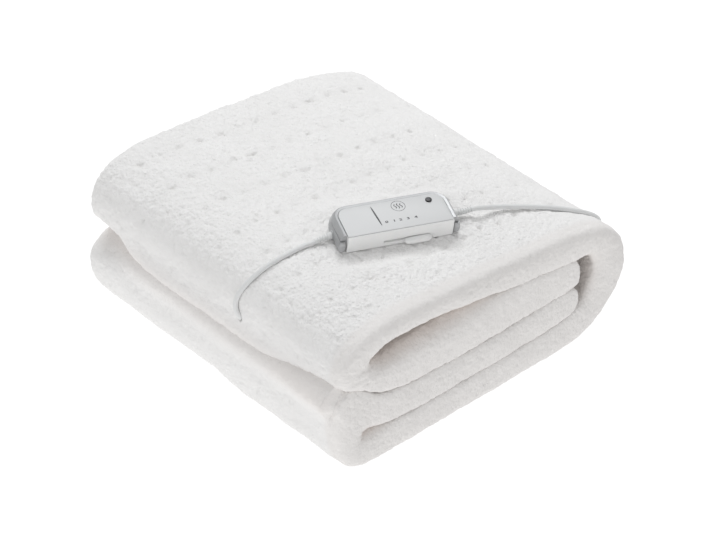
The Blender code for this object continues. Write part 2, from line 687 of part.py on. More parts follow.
def main():
    for item in list(bpy.data.objects):
        bpy.data.objects.remove(item)

    fleece = make_material("fleece", (0.88, 0.87, 0.86), 0.95)
    white = make_material("white_plastic", (0.80, 0.80, 0.79), 0.35)
    grey = make_material("panel_grey", (0.62, 0.63, 0.64), 0.45)
    silver = make_material("silver_band", (0.55, 0.56, 0.58), 0.25, 1.0)
    dark = make_material("lamp", (0.03, 0.03, 0.035), 0.15)
    cable = make_material("cord_grey", (0.60, 0.61, 0.61), 0.5)
    brass = make_material("pin_metal", (0.70, 0.68, 0.62), 0.3, 1.0)

    make_blanket(fleece)

    control = bpy.data.objects.new("controller_frame", None)
    bpy.context.collection.objects.link(control)
    control.location = CONTROL_PLACE
    control.rotation_euler = CONTROL_TURN

    make_body(white, control)
    make_band("band_lower", LOWER_BAND, silver, control)
    make_band("band_upper", UPPER_BAND, silver, control)
    make_post("post_left", -1, silver, control)
    make_post("post_right", 1, silver, control)
    make_panel(grey, control)
    make_disc("lamp", LAMP_PLACE, LAMP_RADIUS, PANEL_TOP + GAP, PANEL_TOP + LAMP_HEIGHT, dark, control)
    make_knob(white, control)
    make_relief("relief_left", LEFT_LEAN, cable, control)
    make_relief("relief_right", RIGHT_LEAN, cable, control)

    make_cord("cord_blanket", cord_start(LEFT_LEAN) + BLANKET_LEAD, cable)
    make_cord("cord_mains", cord_start(RIGHT_LEAN) + MAINS_LEAD, cable)
    make_coil(cable)
    make_plug(cable, brass)
    sleeve = PLUG_LEVELS[-1][0] + GAP
    turned = Matrix.Translation(PLUG_PLACE) @ Matrix.Rotation(PLUG_TURN, 4, "Z")
    plug_start = [turned @ Vector((sleeve + away, 0.0, PLUG_HEIGHT)) for away in (0.0, STRAIGHT)]
    make_cord("cord_plug", plug_start + PLUG_LEAD, cable)


main()
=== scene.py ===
import math

import bmesh
import bpy
import numpy as np
from mathutils import Euler, Matrix, Vector


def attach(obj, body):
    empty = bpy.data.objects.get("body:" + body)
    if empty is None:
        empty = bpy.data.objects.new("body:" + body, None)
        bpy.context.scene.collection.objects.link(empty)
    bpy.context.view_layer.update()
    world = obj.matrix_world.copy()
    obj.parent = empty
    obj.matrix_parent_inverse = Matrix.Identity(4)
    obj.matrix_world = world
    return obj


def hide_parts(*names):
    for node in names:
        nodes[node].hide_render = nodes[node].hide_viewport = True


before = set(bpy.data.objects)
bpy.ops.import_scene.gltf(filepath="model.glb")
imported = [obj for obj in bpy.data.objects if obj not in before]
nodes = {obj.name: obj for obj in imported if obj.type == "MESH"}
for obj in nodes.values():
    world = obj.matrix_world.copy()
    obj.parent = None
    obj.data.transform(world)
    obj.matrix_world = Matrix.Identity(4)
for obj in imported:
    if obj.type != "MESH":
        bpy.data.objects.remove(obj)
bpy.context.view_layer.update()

# Folded heated blanket with its hand control and lead. Metres, Z up; the pack stands on the floor at z = 0.
# -Y shows the two small folds, +Y the big fold, +X the folded long edge, -X the open edges.

scene = bpy.context.scene
scene.view_settings.view_transform = "Standard"
onPlane = 0.00001  # what is this near a plane lies on it


def smoothStep(value, low, high):
    part = np.clip((np.asarray(value, float) - low) / (high - low), 0.0, 1.0)
    return part * part * (3.0 - 2.0 * part)


def unit(vectors):
    return vectors / np.maximum(np.linalg.norm(vectors, axis=-1, keepdims=True), 1e-12)


def deselectAll():
    if bpy.context.object and bpy.context.object.mode != "OBJECT":
        bpy.ops.object.mode_set(mode="OBJECT")
    bpy.ops.object.select_all(action="DESELECT")


def selectOnly(item):
    deselectAll()
    item.select_set(True)
    bpy.context.view_layer.objects.active = item


def newObject(name, data):
    item = bpy.data.objects.new(name, data)
    scene.collection.objects.link(item)
    return item


def newMaterial(name, values):
    material = bpy.data.materials.new(name)
    material.use_nodes = True
    setInputs(material.node_tree.nodes["Principled BSDF"], values)
    return material


def setInputs(node, values):
    for socket, value in values.items():
        node.inputs[socket].default_value = value


def addNode(tree, kind, values, **settings):
    node = tree.nodes.new(kind)
    for key, value in settings.items():
        setattr(node, key, value)
    setInputs(node, values)
    return node


def wire(tree, *wires):
    for source, output, target, socket in wires:
        tree.links.new(source.outputs[output], target.inputs[socket])


camera = {
    "target": Vector((0.0, 0.005, 0.07)),
    "azimuth": 48.01,
    "elevation": 36.90,
    "distance": 3.354,
    "lens": 156.7,
    "clip": (0.1, 30.0),
    "aimDown": 0.01557,  # the object sits a little high in the picture
    "aimLeft": 0.0018,
}


def addCamera():
    azimuth, elevation = math.radians(camera["azimuth"]), math.radians(camera["elevation"])
    back = Vector((
        math.sin(azimuth) * math.cos(elevation),
        -math.cos(azimuth) * math.cos(elevation),
        math.sin(elevation),
    ))
    right = Vector((math.cos(azimuth), math.sin(azimuth), 0.0))
    up = back.cross(right)
    place = camera["target"] + back * camera["distance"]
    aim = camera["target"] - up * camera["aimDown"] - right * camera["aimLeft"]
    data = bpy.data.cameras.new("camera")
    data.lens = camera["lens"]
    data.clip_start, data.clip_end = camera["clip"]
    scene.camera = newObject("camera", data)
    scene.camera.location = place
    scene.camera.rotation_euler = (aim - place).to_track_quat("-Z", "Y").to_euler()


studio = {
    "sky": (0.985, 0.99, 1.0, 1.0),
    "skyStrength": 0.43,
    "floor": {
        "Base Color": (0.12, 0.12, 0.12, 1.0),
        "Roughness": 0.9,
        "Specular IOR Level": 0.1,
        "Emission Color": (1.0, 1.0, 1.0, 1.0),
        "Emission Strength": 0.99,  # a light table: the floor comes out as white as in the picture
    },
    "floorSize": 14.0,
    # place, size across, power
    "lights": {
        "softKey": ((-1.3, 1.3, 3.1), 2.6, 72.0),
        "frontFill": ((1.5, -2.9, 1.9), 2.6, 25.0),
    },
    "lightColour": (0.98, 0.99, 1.0),
    "lightsAt": Vector((0.0, 0.0, 0.1)),
}


def addStudio():
    scene.world = bpy.data.worlds.new("studio")
    scene.world.use_nodes = True
    sky = scene.world.node_tree.nodes["Background"]
    setInputs(sky, {"Color": studio["sky"], "Strength": studio["skyStrength"]})

    deselectAll()
    bpy.ops.mesh.primitive_plane_add(size=studio["floorSize"], location=(0.0, 0.0, 0.0))
    floor = bpy.context.object
    floor.name = "floor"
    floor.data.materials.append(newMaterial("paleFloor", studio["floor"]))

    for name, (place, size, power) in studio["lights"].items():
        light = bpy.data.lights.new(name, "AREA")
        light.shape = "DISK"
        light.size = size
        light.energy = power
        light.color = studio["lightColour"]
        item = newObject(name, light)
        item.location = place
        item.rotation_euler = (studio["lightsAt"] - item.location).to_track_quat("-Z", "Y").to_euler()


grain = {"Scale": 900.0, "Depth": 0.2, "Roughness": 0.35, "Spread": 0.06}  # what the group takes
grainHeight = 0.0001
grainBroad = 60.0  # scale of the patches that are a little rougher or smoother


def makeGrainGroup():
    # fine bumps, and a roughness that varies a little
    group = bpy.data.node_groups.new("mouldedGrain", "ShaderNodeTree")
    for name, value in grain.items():
        socket = group.interface.new_socket(name=name, in_out="INPUT", socket_type="NodeSocketFloat")
        socket.default_value = value
    for name, kind in (("Roughness", "NodeSocketFloat"), ("Normal", "NodeSocketVector")):
        group.interface.new_socket(name=name, in_out="OUTPUT", socket_type=kind)
    source = addNode(group, "NodeGroupInput", {})
    result = addNode(group, "NodeGroupOutput", {})
    place = addNode(group, "ShaderNodeTexCoord", {})
    fine = addNode(group, "ShaderNodeTexNoise", {"Detail": 3.0})
    broad = addNode(group, "ShaderNodeTexNoise", {"Scale": grainBroad})
    bump = addNode(group, "ShaderNodeBump", {"Distance": grainHeight})
    centred = addNode(group, "ShaderNodeMath", {1: 0.5}, operation="SUBTRACT")
    scaled = addNode(group, "ShaderNodeMath", {}, operation="MULTIPLY_ADD")
    wire(
        group,
        (place, "Object", fine, "Vector"),
        (place, "Object", broad, "Vector"),
        (source, "Scale", fine, "Scale"),
        (fine, "Fac", bump, "Height"),
        (source, "Depth", bump, "Strength"),
        (broad, "Fac", centred, 0),
        (centred, 0, scaled, 0),
        (source, "Spread", scaled, 1),
        (source, "Roughness", scaled, 2),
        (scaled, 0, result, "Roughness"),
        (bump, "Normal", result, "Normal"),
    )
    return group


# colour, roughness, metallic
finishes = {
    "whitePlastic": ((0.93, 0.93, 0.92), 0.38, 0.0),
    "panelPlastic": ((0.64, 0.645, 0.645), 0.42, 0.0),
    "silverFinish": ((0.50, 0.505, 0.51), 0.47, 0.52),
    "lampPlastic": ((0.012, 0.012, 0.014), 0.38, 0.0),
    # the ink of the marks, also put on the faces inside the slot as painted shade
    "inkAndSlotShade": ((0.07, 0.07, 0.075), 0.55, 0.0),
    "cableSkin": ((0.78, 0.785, 0.78), 0.50, 0.0),
    "pinMetal": ((0.72, 0.70, 0.64), 0.26, 1.0),
}
# the finish of the pieces that keep the CAD's meshes
cadFinishes = {
    "silverFinish": ("band_lower", "band_upper", "post_left", "post_right"),
    "whitePlastic": ("slider_knob",),
    "cableSkin": ("plug_body",),
    "pinMetal": ("plug_pin_left", "plug_pin_right"),
}


def hardMaterial(name, group):
    colour, roughness, metallic = finishes[name]
    material = newMaterial(name, {"Base Color": (*colour, 1.0), "Metallic": metallic})
    material.diffuse_color = (*colour, 1.0)
    tree = material.node_tree
    worn = addNode(tree, "ShaderNodeGroup", {**grain, "Roughness": roughness}, node_tree=group)
    shader = tree.nodes["Principled BSDF"]
    wire(tree, (worn, "Roughness", shader, "Roughness"), (worn, "Normal", shader, "Normal"))
    return material


# the hand control's own frame has X along it, -Y its front, Z up from its base
control = {
    "place": (0.0860, -0.0284, 0.1722),
    "turn": (8.3, 3.0, 68.4),
    "length": 0.1340,
    "depth": 0.0520,
    "backRadius": 0.0210,
}
controlFrame = Matrix.Translation(control["place"]) @ Euler(
    [math.radians(angle) for angle in control["turn"]]
).to_matrix().to_4x4()
controlTurn = np.array(controlFrame.to_3x3())
controlPlace = np.array(control["place"])


def toControl(points):
    return (points - controlPlace) @ controlTurn


def fromControl(points):
    return points @ controlTurn.T + controlPlace


def besideControl(local):
    # how far points in the control's frame lie outside its outline
    outX = np.maximum(0.0, np.abs(local[..., 0]) - control["length"] / 2)
    outY = np.maximum(0.0, np.abs(local[..., 1]) - control["depth"] / 2)
    return np.hypot(outX, outY)


def nothingSelected():
    # in edit mode: the mesh that is edited, with nothing in it selected
    shape = bmesh.from_edit_mesh(bpy.context.object.data)
    for part in (shape.verts, shape.edges, shape.faces):
        for item in part:
            item.select = False
    return shape


def selectFaces(test):
    # the faces whose normal passes the test, given their middle too
    shape = nothingSelected()
    for face in shape.faces:
        if test(face.calc_center_median(), face.normal):
            face.select_set(True)
    bmesh.update_edit_mesh(bpy.context.object.data)


def selectTop():
    selectFaces(lambda middle, normal: normal.z > 0.9)


def selectEdges(test):
    # the edges whose two ends pass the test
    bpy.ops.mesh.select_mode(type="EDGE")
    shape = nothingSelected()
    for edge in shape.edges:
        if test(edge.verts[0].co, edge.verts[1].co):
            edge.select_set(True)
    bmesh.update_edit_mesh(bpy.context.object.data)


def roundCorners(y, radius, segments):
    # of the upright edges at that y
    selectEdges(lambda a, b: max(abs(a.x - b.x), abs(a.y - y), abs(b.y - y)) < onPlane)
    bpy.ops.mesh.bevel(offset=radius, segments=segments, affect="EDGES")


def startPiece(kind, name, place, turn=(0.0, 0.0, 0.0), scale=(1.0, 1.0, 1.0), **sizes):
    # a primitive with its place in its mesh, left in edit mode
    deselectAll()
    getattr(bpy.ops.mesh, f"primitive_{kind}_add")(**sizes)
    item = bpy.context.object
    item.name = item.data.name = name
    item.location, item.rotation_euler, item.scale = place, turn, scale
    bpy.ops.object.transform_apply(location=True, rotation=True, scale=True)
    bpy.ops.object.mode_set(mode="EDIT")
    return item


def startBox(name, low, high):
    # between two corners in the control's frame
    middle = [(a + b) / 2 for a, b in zip(low, high)]
    return startPiece("cube", name, middle, scale=[b - a for a, b in zip(low, high)], size=1.0)


def addModifier(item, name, kind, **values):
    selectOnly(item)
    modifier = item.modifiers.new(name, kind)
    for key, value in values.items():
        setattr(modifier, key, value)
    bpy.ops.object.modifier_apply(modifier=name)


def carry(item, slot, *replaced):
    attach(item, "root")
    if replaced:
        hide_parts(*replaced)


def finishPiece(item, materials, slot, *replaced, angle=35.0):
    # smooth, coloured, put in its place in the mesh, and riding
    selectOnly(item)
    bpy.ops.object.shade_smooth_by_angle(angle=math.radians(angle))
    item.data.materials.clear()
    for material in materials:
        item.data.materials.append(material)
    item.data.transform(controlFrame)
    item.data.update()
    carry(item, slot, *replaced)
    return item


shell = {
    "inset": 0.0087,  # inside the silver bands
    "top": 0.0180,
    "lip": 0.0021,  # the front wall rises this much more, to the panel's edge
    "lipDepth": 0.0012,
    "soft": 0.0007,
    # two corners on the front, and the depth: the track that the knob slides in, and the slot in it
    "cuts": {
        "track": ((-0.0205, 0.0014), (0.0375, 0.0086), 0.0005),
        "slot": ((-0.0185, 0.0042), (0.0240, 0.0071), 0.0050),
    },
    "cutRound": 0.49,  # of a cut's corners, in shares of its height
    "shadedSlotFrom": 0.0004,  # the slot's faces are painted dark from this far behind the track: painted shade in the slot
    "shadedSlotPast": 0.0001,
}


def addShell(material, slotShadeMaterial):
    halfX = control["length"] / 2 - shell["inset"]
    front, back = -control["depth"] / 2, control["depth"] / 2 - shell["inset"]
    lipEnd = front + shell["lipDepth"]
    item = startBox("controlShell", (-halfX, front, 0.0), (halfX, back, shell["top"]))
    bpy.ops.mesh.select_all(action="SELECT")
    bpy.ops.mesh.bisect(plane_co=(0.0, lipEnd, 0.0), plane_no=(0.0, 1.0, 0.0))
    selectFaces(lambda middle, normal: normal.z > 0.9 and middle.y < lipEnd)
    bpy.ops.mesh.extrude_region_move(TRANSFORM_OT_translate={"value": (0.0, 0.0, shell["lip"])})
    roundCorners(back, control["backRadius"] - shell["inset"], 10)
    addModifier(item, "soft", "BEVEL", width=shell["soft"], segments=3, limit_method="ANGLE")
    for name, (low, high, depth) in shell["cuts"].items():
        cutter = startBox(name, (low[0], front - depth, low[1]), (high[0], front + depth, high[1]))
        selectEdges(lambda a, b: abs(a.y - b.y) > depth)
        bpy.ops.mesh.bevel(offset=(high[1] - low[1]) * shell["cutRound"], segments=6, affect="EDGES")
        addModifier(item, name, "BOOLEAN", object=cutter, operation="DIFFERENCE", solver="EXACT")
        bpy.data.objects.remove(cutter)
    # what is seen through the slot is painted dark with the ink material: painted shade in the recess
    (lowX, lowZ), (highX, highZ), depth = shell["cuts"]["slot"]
    wall = front + shell["cuts"]["track"][2] + shell["shadedSlotFrom"]
    for face in item.data.polygons:
        x, y, z = face.center
        inSlot = lowX < x < highX and lowZ - onPlane < z < highZ + onPlane
        face.material_index = int(inSlot and wall < y < front + depth + shell["shadedSlotPast"])
    return finishPiece(item, [material, slotShadeMaterial], "white_plastic", "controller_body")


panel = {
    "inset": 0.0090,
    "front": 0.0013,
    "frontRadius": 0.0010,
    "low": 0.0183,
    "high": 0.0206,
    "soft": 0.0005,
    "crown": 0.35,  # how much the middle rises, in shares of the soft edge
}


def addPanel(material):
    halfX = control["length"] / 2 - panel["inset"]
    front, back = -control["depth"] / 2 + panel["front"], control["depth"] / 2 - panel["inset"]
    item = startBox("controlPanel", (-halfX, front, panel["low"]), (halfX, back, panel["high"]))
    roundCorners(back, control["backRadius"] - panel["inset"], 12)
    roundCorners(front, panel["frontRadius"], 4)
    selectTop()
    bpy.ops.mesh.inset(thickness=panel["soft"])
    bpy.ops.transform.translate(value=(0.0, 0.0, panel["soft"] * panel["crown"]))
    addModifier(
        item, "soft", "BEVEL", width=panel["soft"], segments=2, limit_method="ANGLE",
        angle_limit=math.radians(20),
    )
    return finishPiece(item, [material], "panel", "controller_panel")


lamp = {
    "place": (0.0420, 0.0085),
    "radius": 0.0034,
    "low": panel["high"] + 0.0002,
    "high": panel["high"] + 0.0011,
    "dome": ((0.0004, 0.00018), (0.0008, 0.00014), (0.0010, 0.00008)),  # rings: drawn in, raised
}


def addLamp(material):
    depth, middle = lamp["high"] - lamp["low"], (lamp["low"] + lamp["high"]) / 2
    item = startPiece(
        "cylinder", "lampLens", (*lamp["place"], middle), vertices=36, radius=lamp["radius"], depth=depth
    )
    selectTop()
    for drawnIn, rise in lamp["dome"]:
        bpy.ops.mesh.inset(thickness=drawnIn)
        bpy.ops.transform.translate(value=(0.0, 0.0, rise))
    return finishPiece(item, [material], "lamp", "lamp", angle=60.0)


marks = {
    "lift": 0.0002,  # of the line's and the symbol's middle over the panel
    "proud": 0.00012,
    "lineFrom": (-0.0184, -0.0166),
    "lineTo": (-0.0208, 0.0131),
    "lineHalf": 0.00085,
    "lineEdge": 0.00012,
    "lineHollow": 0.00005,
    "numbers": (-0.0119, -0.0035, 0.0034, 0.0118, 0.0203),
    "numbersY": -0.0126,
    "numberLift": 0.0001,
    "numberSize": 0.0042,
    "numberWide": 1.6,
    "numberBold": 0.00014,
    "symbol": (0.0078, 0.0074),
    "symbolRadius": 0.0074,
    "symbolFlat": 0.35,
    "wavePitch": 0.0032,
    "waveHeights": {-1: 0.00592, 0: 0.0074, 1: 0.00592},
    "waveSway": 0.0009,
    "stroke": 0.00032,
    "ringStroke": 0.8,  # in shares of the stroke
    "waveStroke": 1.5,
}


def addPanelLine(material):
    # a long thin inlay, widest in the middle
    start, end = Vector(marks["lineFrom"]), Vector(marks["lineTo"])
    middle, away = (start + end) / 2, end - start
    item = startPiece(
        "cylinder", "panelLine", (*middle, panel["high"] + marks["lift"]),
        turn=(0.0, 0.0, math.atan2(-away.x, away.y)),
        scale=(marks["lineHalf"], away.length / 2, 2 * marks["proud"]), vertices=40, radius=1.0, depth=1.0,
    )
    selectTop()
    bpy.ops.mesh.inset(thickness=marks["lineEdge"])
    bpy.ops.transform.translate(value=(0.0, 0.0, -marks["lineHollow"]))
    return finishPiece(item, [material], "panel")


def toMesh(item, name):
    selectOnly(item)
    bpy.ops.object.convert(target="MESH")
    item = bpy.context.object
    item.name = item.data.name = name
    bpy.ops.object.transform_apply(location=True, rotation=True, scale=True)
    return item


def addNumbers(material):
    made = []
    for k, x in enumerate(marks["numbers"]):
        deselectAll()
        bpy.ops.object.text_add(location=(x, marks["numbersY"], panel["high"] + marks["numberLift"]))
        item = bpy.context.object
        item.data.body = str(k)
        item.data.size = marks["numberSize"]
        item.data.align_x, item.data.align_y = "CENTER", "CENTER"
        item.data.extrude = marks["proud"]
        item.data.offset = marks["numberBold"]
        item.data.resolution_u = 3
        item.scale.x = marks["numberWide"]
        made.append(toMesh(item, "number"))
    selectOnly(made[0])
    for item in made:
        item.select_set(True)
    bpy.ops.object.join()
    item = bpy.context.object
    item.name = item.data.name = "settingNumbers"
    return finishPiece(item, [material], "panel")


def newCurve(name, radius, resolution):
    curve = bpy.data.curves.new(name, "CURVE")
    curve.dimensions = "3D"
    curve.bevel_depth = radius
    curve.bevel_resolution = resolution
    curve.use_fill_caps = True
    return curve


def addHeatSymbol(material):
    # a ring round three lines of rising heat
    centre = Vector((*marks["symbol"], panel["high"] + marks["lift"]))
    angles = [2 * math.pi * k / 48 for k in range(48)]
    paths = [[marks["symbolRadius"] * Vector((math.cos(angle), math.sin(angle), 0.0)) for angle in angles]]
    for side, tall in marks["waveHeights"].items():
        paths.append([
            Vector((
                side * marks["wavePitch"] + marks["waveSway"] * math.sin(2 * math.pi * share),
                tall * (share - 0.5), 0.0,
            )) for share in np.linspace(0.0, 1.0, 17)
        ])
    curve = newCurve("heatSymbol", marks["stroke"], 1)
    for path in paths:
        isRing = path is paths[0]
        spline = curve.splines.new("POLY")
        spline.points.add(len(path) - 1)
        spline.use_cyclic_u = isRing
        for point, place in zip(spline.points, path):
            point.co = (*place, 1.0)
            point.radius = marks["ringStroke"] if isRing else marks["waveStroke"]
    item = toMesh(newObject("heatSymbol", curve), "heatSymbol")
    # pressed flat on the panel
    item.data.transform(Matrix.Translation(centre) @ Matrix.Diagonal((1, 1, marks["symbolFlat"], 1)))
    return finishPiece(item, [material], "panel", angle=60.0)


cords = {
    "diameter": 0.0055,
    "height": 0.0052,  # of the cord's middle over the control's base
    "side": -0.0020,
    "gap": 0.0003,
    "straight": 0.0045,
    "pathStep": 0.0015,
    # how far each sleeve's tip leans back and drops
    "leftLean": {"side": -1, "back": -0.0045, "drop": 0.0010},
    "rightLean": {"side": 1, "back": 0.0015, "drop": 0.0},
}
sleeve = {
    "length": 0.0200,
    "root": 0.0041,
    "tip": 0.0030,
    "collar": 0.0030,
    "collarSlope": 0.0005,
    "step": 0.0006,  # from the collar down to the ribs
    "ribs": 5,
    "ribsFrom": 0.0050,
    "ribsShort": 0.0060,  # what the ribs leave free of the length
    "groove": 0.0008,
    "grooveWide": 0.0011,
    "grooveSlope": 0.0003,
    "tipRound": (0.0006, 0.0004),  # along the sleeve, across it
}


def addSleeve(name, lean, material, replaced):
    # a ribbed sleeve, drawn out ring by ring from the control's end
    item = startPiece(
        "circle", name, (0.0, 0.0, 0.0), turn=(0.0, math.pi / 2, 0.0),
        vertices=28, radius=sleeve["root"], fill_type="NGON",
    )
    length, root, slope = sleeve["length"], sleeve["root"], sleeve["grooveSlope"]
    ribRoot = root - sleeve["step"]
    levels = [(sleeve["collar"], root), (sleeve["collar"] + sleeve["collarSlope"], ribRoot)]
    pitch = (length - sleeve["ribsShort"]) / sleeve["ribs"]
    for k in range(sleeve["ribs"]):
        begin = sleeve["ribsFrom"] + k * pitch
        end = begin + sleeve["grooveWide"]
        wide = ribRoot + (sleeve["tip"] - ribRoot) * (begin / length)
        narrow = wide - sleeve["groove"]
        levels += [(begin, wide), (begin + slope, narrow), (end - slope, narrow), (end, wide)]
    roundAlong, roundAcross = sleeve["tipRound"]
    levels += [(length - roundAlong, sleeve["tip"]), (length, sleeve["tip"] - roundAcross)]
    bpy.ops.mesh.select_all(action="SELECT")
    at, wide = 0.0, root
    for place, size in levels:
        bpy.ops.mesh.extrude_region_move(TRANSFORM_OT_translate={"value": (place - at, 0.0, 0.0)})
        bpy.ops.transform.resize(value=(1.0, size / wide, size / wide), center_override=(place, 0.0, 0.0))
        at, wide = place, size
    bpy.ops.mesh.select_all(action="SELECT")
    bpy.ops.mesh.normals_make_consistent(inside=False)
    bpy.ops.object.mode_set(mode="OBJECT")
    # it leans with the cord that leaves it
    shear = Matrix.Identity(4)
    shear[1][0], shear[2][0] = lean["back"] / length, -lean["drop"] / length
    start = (lean["side"] * (control["length"] / 2 + cords["gap"]), cords["side"], cords["height"])
    item.data.transform(Matrix.Translation(start) @ Matrix.Diagonal((lean["side"], 1, 1, 1)) @ shear)
    if lean["side"] < 0:
        item.data.flip_normals()
    return finishPiece(item, [material], "cable", replaced, angle=50.0)


exitRing = {
    "radius": 0.0053,
    "depth": 0.0016,
    "out": 0.0001,
    "rim": 0.0008,
    "hollow": 0.0004,
    "soft": 0.00025,
}


def addExitRing(name, lean, material):
    # the collar in the band's end that the sleeve comes out of
    item = startPiece(
        "cylinder", name,
        (lean["side"] * (control["length"] / 2 + exitRing["out"]), cords["side"], cords["height"]),
        turn=(0.0, math.pi / 2, 0.0), vertices=36, radius=exitRing["radius"], depth=exitRing["depth"],
    )
    selectFaces(lambda middle, normal: abs(normal.x) > 0.9)
    bpy.ops.mesh.inset(thickness=exitRing["rim"])
    bpy.ops.mesh.extrude_region_shrink_fatten(TRANSFORM_OT_shrink_fatten={"value": -exitRing["hollow"]})
    addModifier(item, "soft", "BEVEL", width=exitRing["soft"], segments=2, limit_method="ANGLE")
    return finishPiece(item, [material], "silver", angle=40.0)


# from the control's left end, over the upper small fold and into the cloth
blanketLead = [
    (0.0585, -0.1225, 0.1811), (0.0592, -0.1305, 0.1815), (0.0594, -0.1395, 0.1812),
    (0.0583, -0.1496, 0.1802), (0.0560, -0.1590, 0.1785), (0.0544, -0.1668, 0.1764),
    (0.0531, -0.1744, 0.1734), (0.0518, -0.1812, 0.1699), (0.0497, -0.1878, 0.1650),
    (0.0463, -0.1938, 0.1588), (0.0431, -0.1989, 0.1510), (0.0415, -0.2021, 0.1435),
    (0.0413, -0.2042, 0.1362), (0.0424, -0.2050, 0.1298), (0.0445, -0.2044, 0.1243),
    (0.0472, -0.2005, 0.1198),
]
# from the control's right end, over the big fold and down behind it to the coil
mainsLead = [
    (0.1219, 0.0640, 0.1706), (0.1222, 0.0710, 0.1679), (0.1221, 0.0790, 0.1645),
    (0.1229, 0.0875, 0.1611), (0.1260, 0.0972, 0.1583), (0.1309, 0.1065, 0.1567),
    (0.1366, 0.1160, 0.1550), (0.1422, 0.1255, 0.1531), (0.1474, 0.1350, 0.1511),
    (0.1525, 0.1444, 0.1483), (0.1576, 0.1536, 0.1451), (0.1629, 0.1622, 0.1420),
    (0.1672, 0.1711, 0.1382), (0.1700, 0.1802, 0.1331), (0.1706, 0.1888, 0.1267),
    (0.1690, 0.1966, 0.1186), (0.1655, 0.2032, 0.1092), (0.1603, 0.2082, 0.0982),
    (0.1538, 0.2115, 0.0863), (0.1464, 0.2127, 0.0729), (0.1383, 0.2127, 0.0592),
    (0.1295, 0.2118, 0.0456), (0.1197, 0.2101, 0.0325), (0.1082, 0.2068, 0.0204),
    (0.0948, 0.2018, 0.0105), (0.0800, 0.1955, 0.0046), (0.0645, 0.1895, 0.0031),
    (0.0488, 0.1867, 0.0031),
]
# from the side of the coil to the plug's sleeve
plugLead = [
    (0.0488, 0.1988, 0.01405), (0.0385, 0.1959, 0.01405), (0.0275, 0.1948, 0.0141), (0.0185, 0.1938, 0.0138),
    (0.0110, 0.1926, 0.0120), (0.0040, 0.1914, 0.0093), (-0.0025, 0.1906, 0.0074),
]
plug = {"place": (-0.0720, 0.1975, 0.0), "turn": -6.0, "sleeve": 0.0603, "height": 0.0068}
coil = {
    "centre": Vector((0.035, 0.226, 0.0)),
    "radii": (0.02475, 0.03025, 0.03575),
    "heights": (0.00305, 0.00855, 0.01405),
    "steps": 16,  # points to a turn
    "startAngle": math.radians(-112.0),
    "changeover": 0.50,  # the last part of each turn moves to the next one's place
    "innerSwing": 0.0022,  # how far a climbing strand swings clear of its neighbours
    "outerSwing": 0.0024,
    "short": 2,  # points that the last turn leaves out
}


def cordStart(lean):
    away = lean["side"] * (control["length"] / 2 + sleeve["length"] + 2 * cords["gap"])
    tip = Vector((away, cords["side"] + lean["back"], cords["height"] - lean["drop"]))
    ahead = Vector((lean["side"] * sleeve["length"], 2 * lean["back"], 0.0)).normalized()
    return [controlFrame @ tip, controlFrame @ (tip + ahead * cords["straight"])]


def coilRoute():
    # seven turns: in along the floor, out over them, and one more on top; clockwise seen from above
    inner, middle, outer = coil["radii"]
    low, mid, high = coil["heights"]
    turns = [
        (outer, low), (middle, low), (inner, low), (inner, mid), (middle, mid), (outer, mid), (middle, high),
    ]
    route = []
    for (radius, height), (nextRadius, nextHeight) in zip(turns, turns[1:] + turns[-1:]):
        for step in range(coil["steps"]):
            part = step / coil["steps"]
            move = float(smoothStep(part, 1.0 - coil["changeover"], 1.0))
            swing = math.sin(math.pi * move)
            wide = radius + (nextRadius - radius) * move
            lift = height + (nextHeight - height) * move
            if radius == nextRadius == inner:
                wide -= coil["innerSwing"] * swing
            elif height == mid and nextHeight == high:
                wide = radius + coil["outerSwing"] * swing + (nextRadius - radius) * move**2
                lift = height + (nextHeight - height) * (1 - (1 - move) ** 2)
            angle = coil["startAngle"] - 2 * math.pi * part
            route.append(coil["centre"] + Vector((wide * math.cos(angle), wide * math.sin(angle), lift)))
    return route[: -coil["short"]]


def eased(route):
    # each point but the first two and the last goes a little towards the middle of its neighbours
    points = [Vector(point) for point in route]
    for _ in range(3):
        middles = [
            before * 0.25 + point * 0.5 + after * 0.25
            for before, point, after in zip(points[1:], points[2:], points[3:])
        ]
        points = points[:2] + middles + points[-1:]
    return points


def addCord(name, route, material):
    points = [Vector(point) for point in route]
    curve = newCurve(name, cords["diameter"] / 2, 5)
    curve.resolution_u = 6
    spline = curve.splines.new("BEZIER")
    spline.bezier_points.add(len(points) - 1)
    for knot, before, point, after in zip(
        spline.bezier_points, points[:1] + points, points, points[1:] + points[-1:]
    ):
        ahead = (after - before).normalized()
        knot.handle_left_type = knot.handle_right_type = "FREE"
        knot.co = point
        knot.handle_left = point - ahead * (point - before).length / 3
        knot.handle_right = point + ahead * (after - point).length / 3
    curve.materials.append(material)
    return newObject(name, curve)


def densePath(item):
    # points along the middle of a cord
    knots = item.data.splines[0].bezier_points
    path = []
    for first, second in zip(knots[:-1], knots[1:]):
        count = max(2, round((second.co - first.co).length / cords["pathStep"]))
        for k in range(count):
            t = k / count
            path.append(
                (1 - t) ** 3 * first.co + 3 * (1 - t) ** 2 * t * first.handle_right
                + 3 * (1 - t) * t * t * second.handle_left + t ** 3 * second.co
            )
    path.append(knots[-1].co)
    return np.array([tuple(point) for point in path])


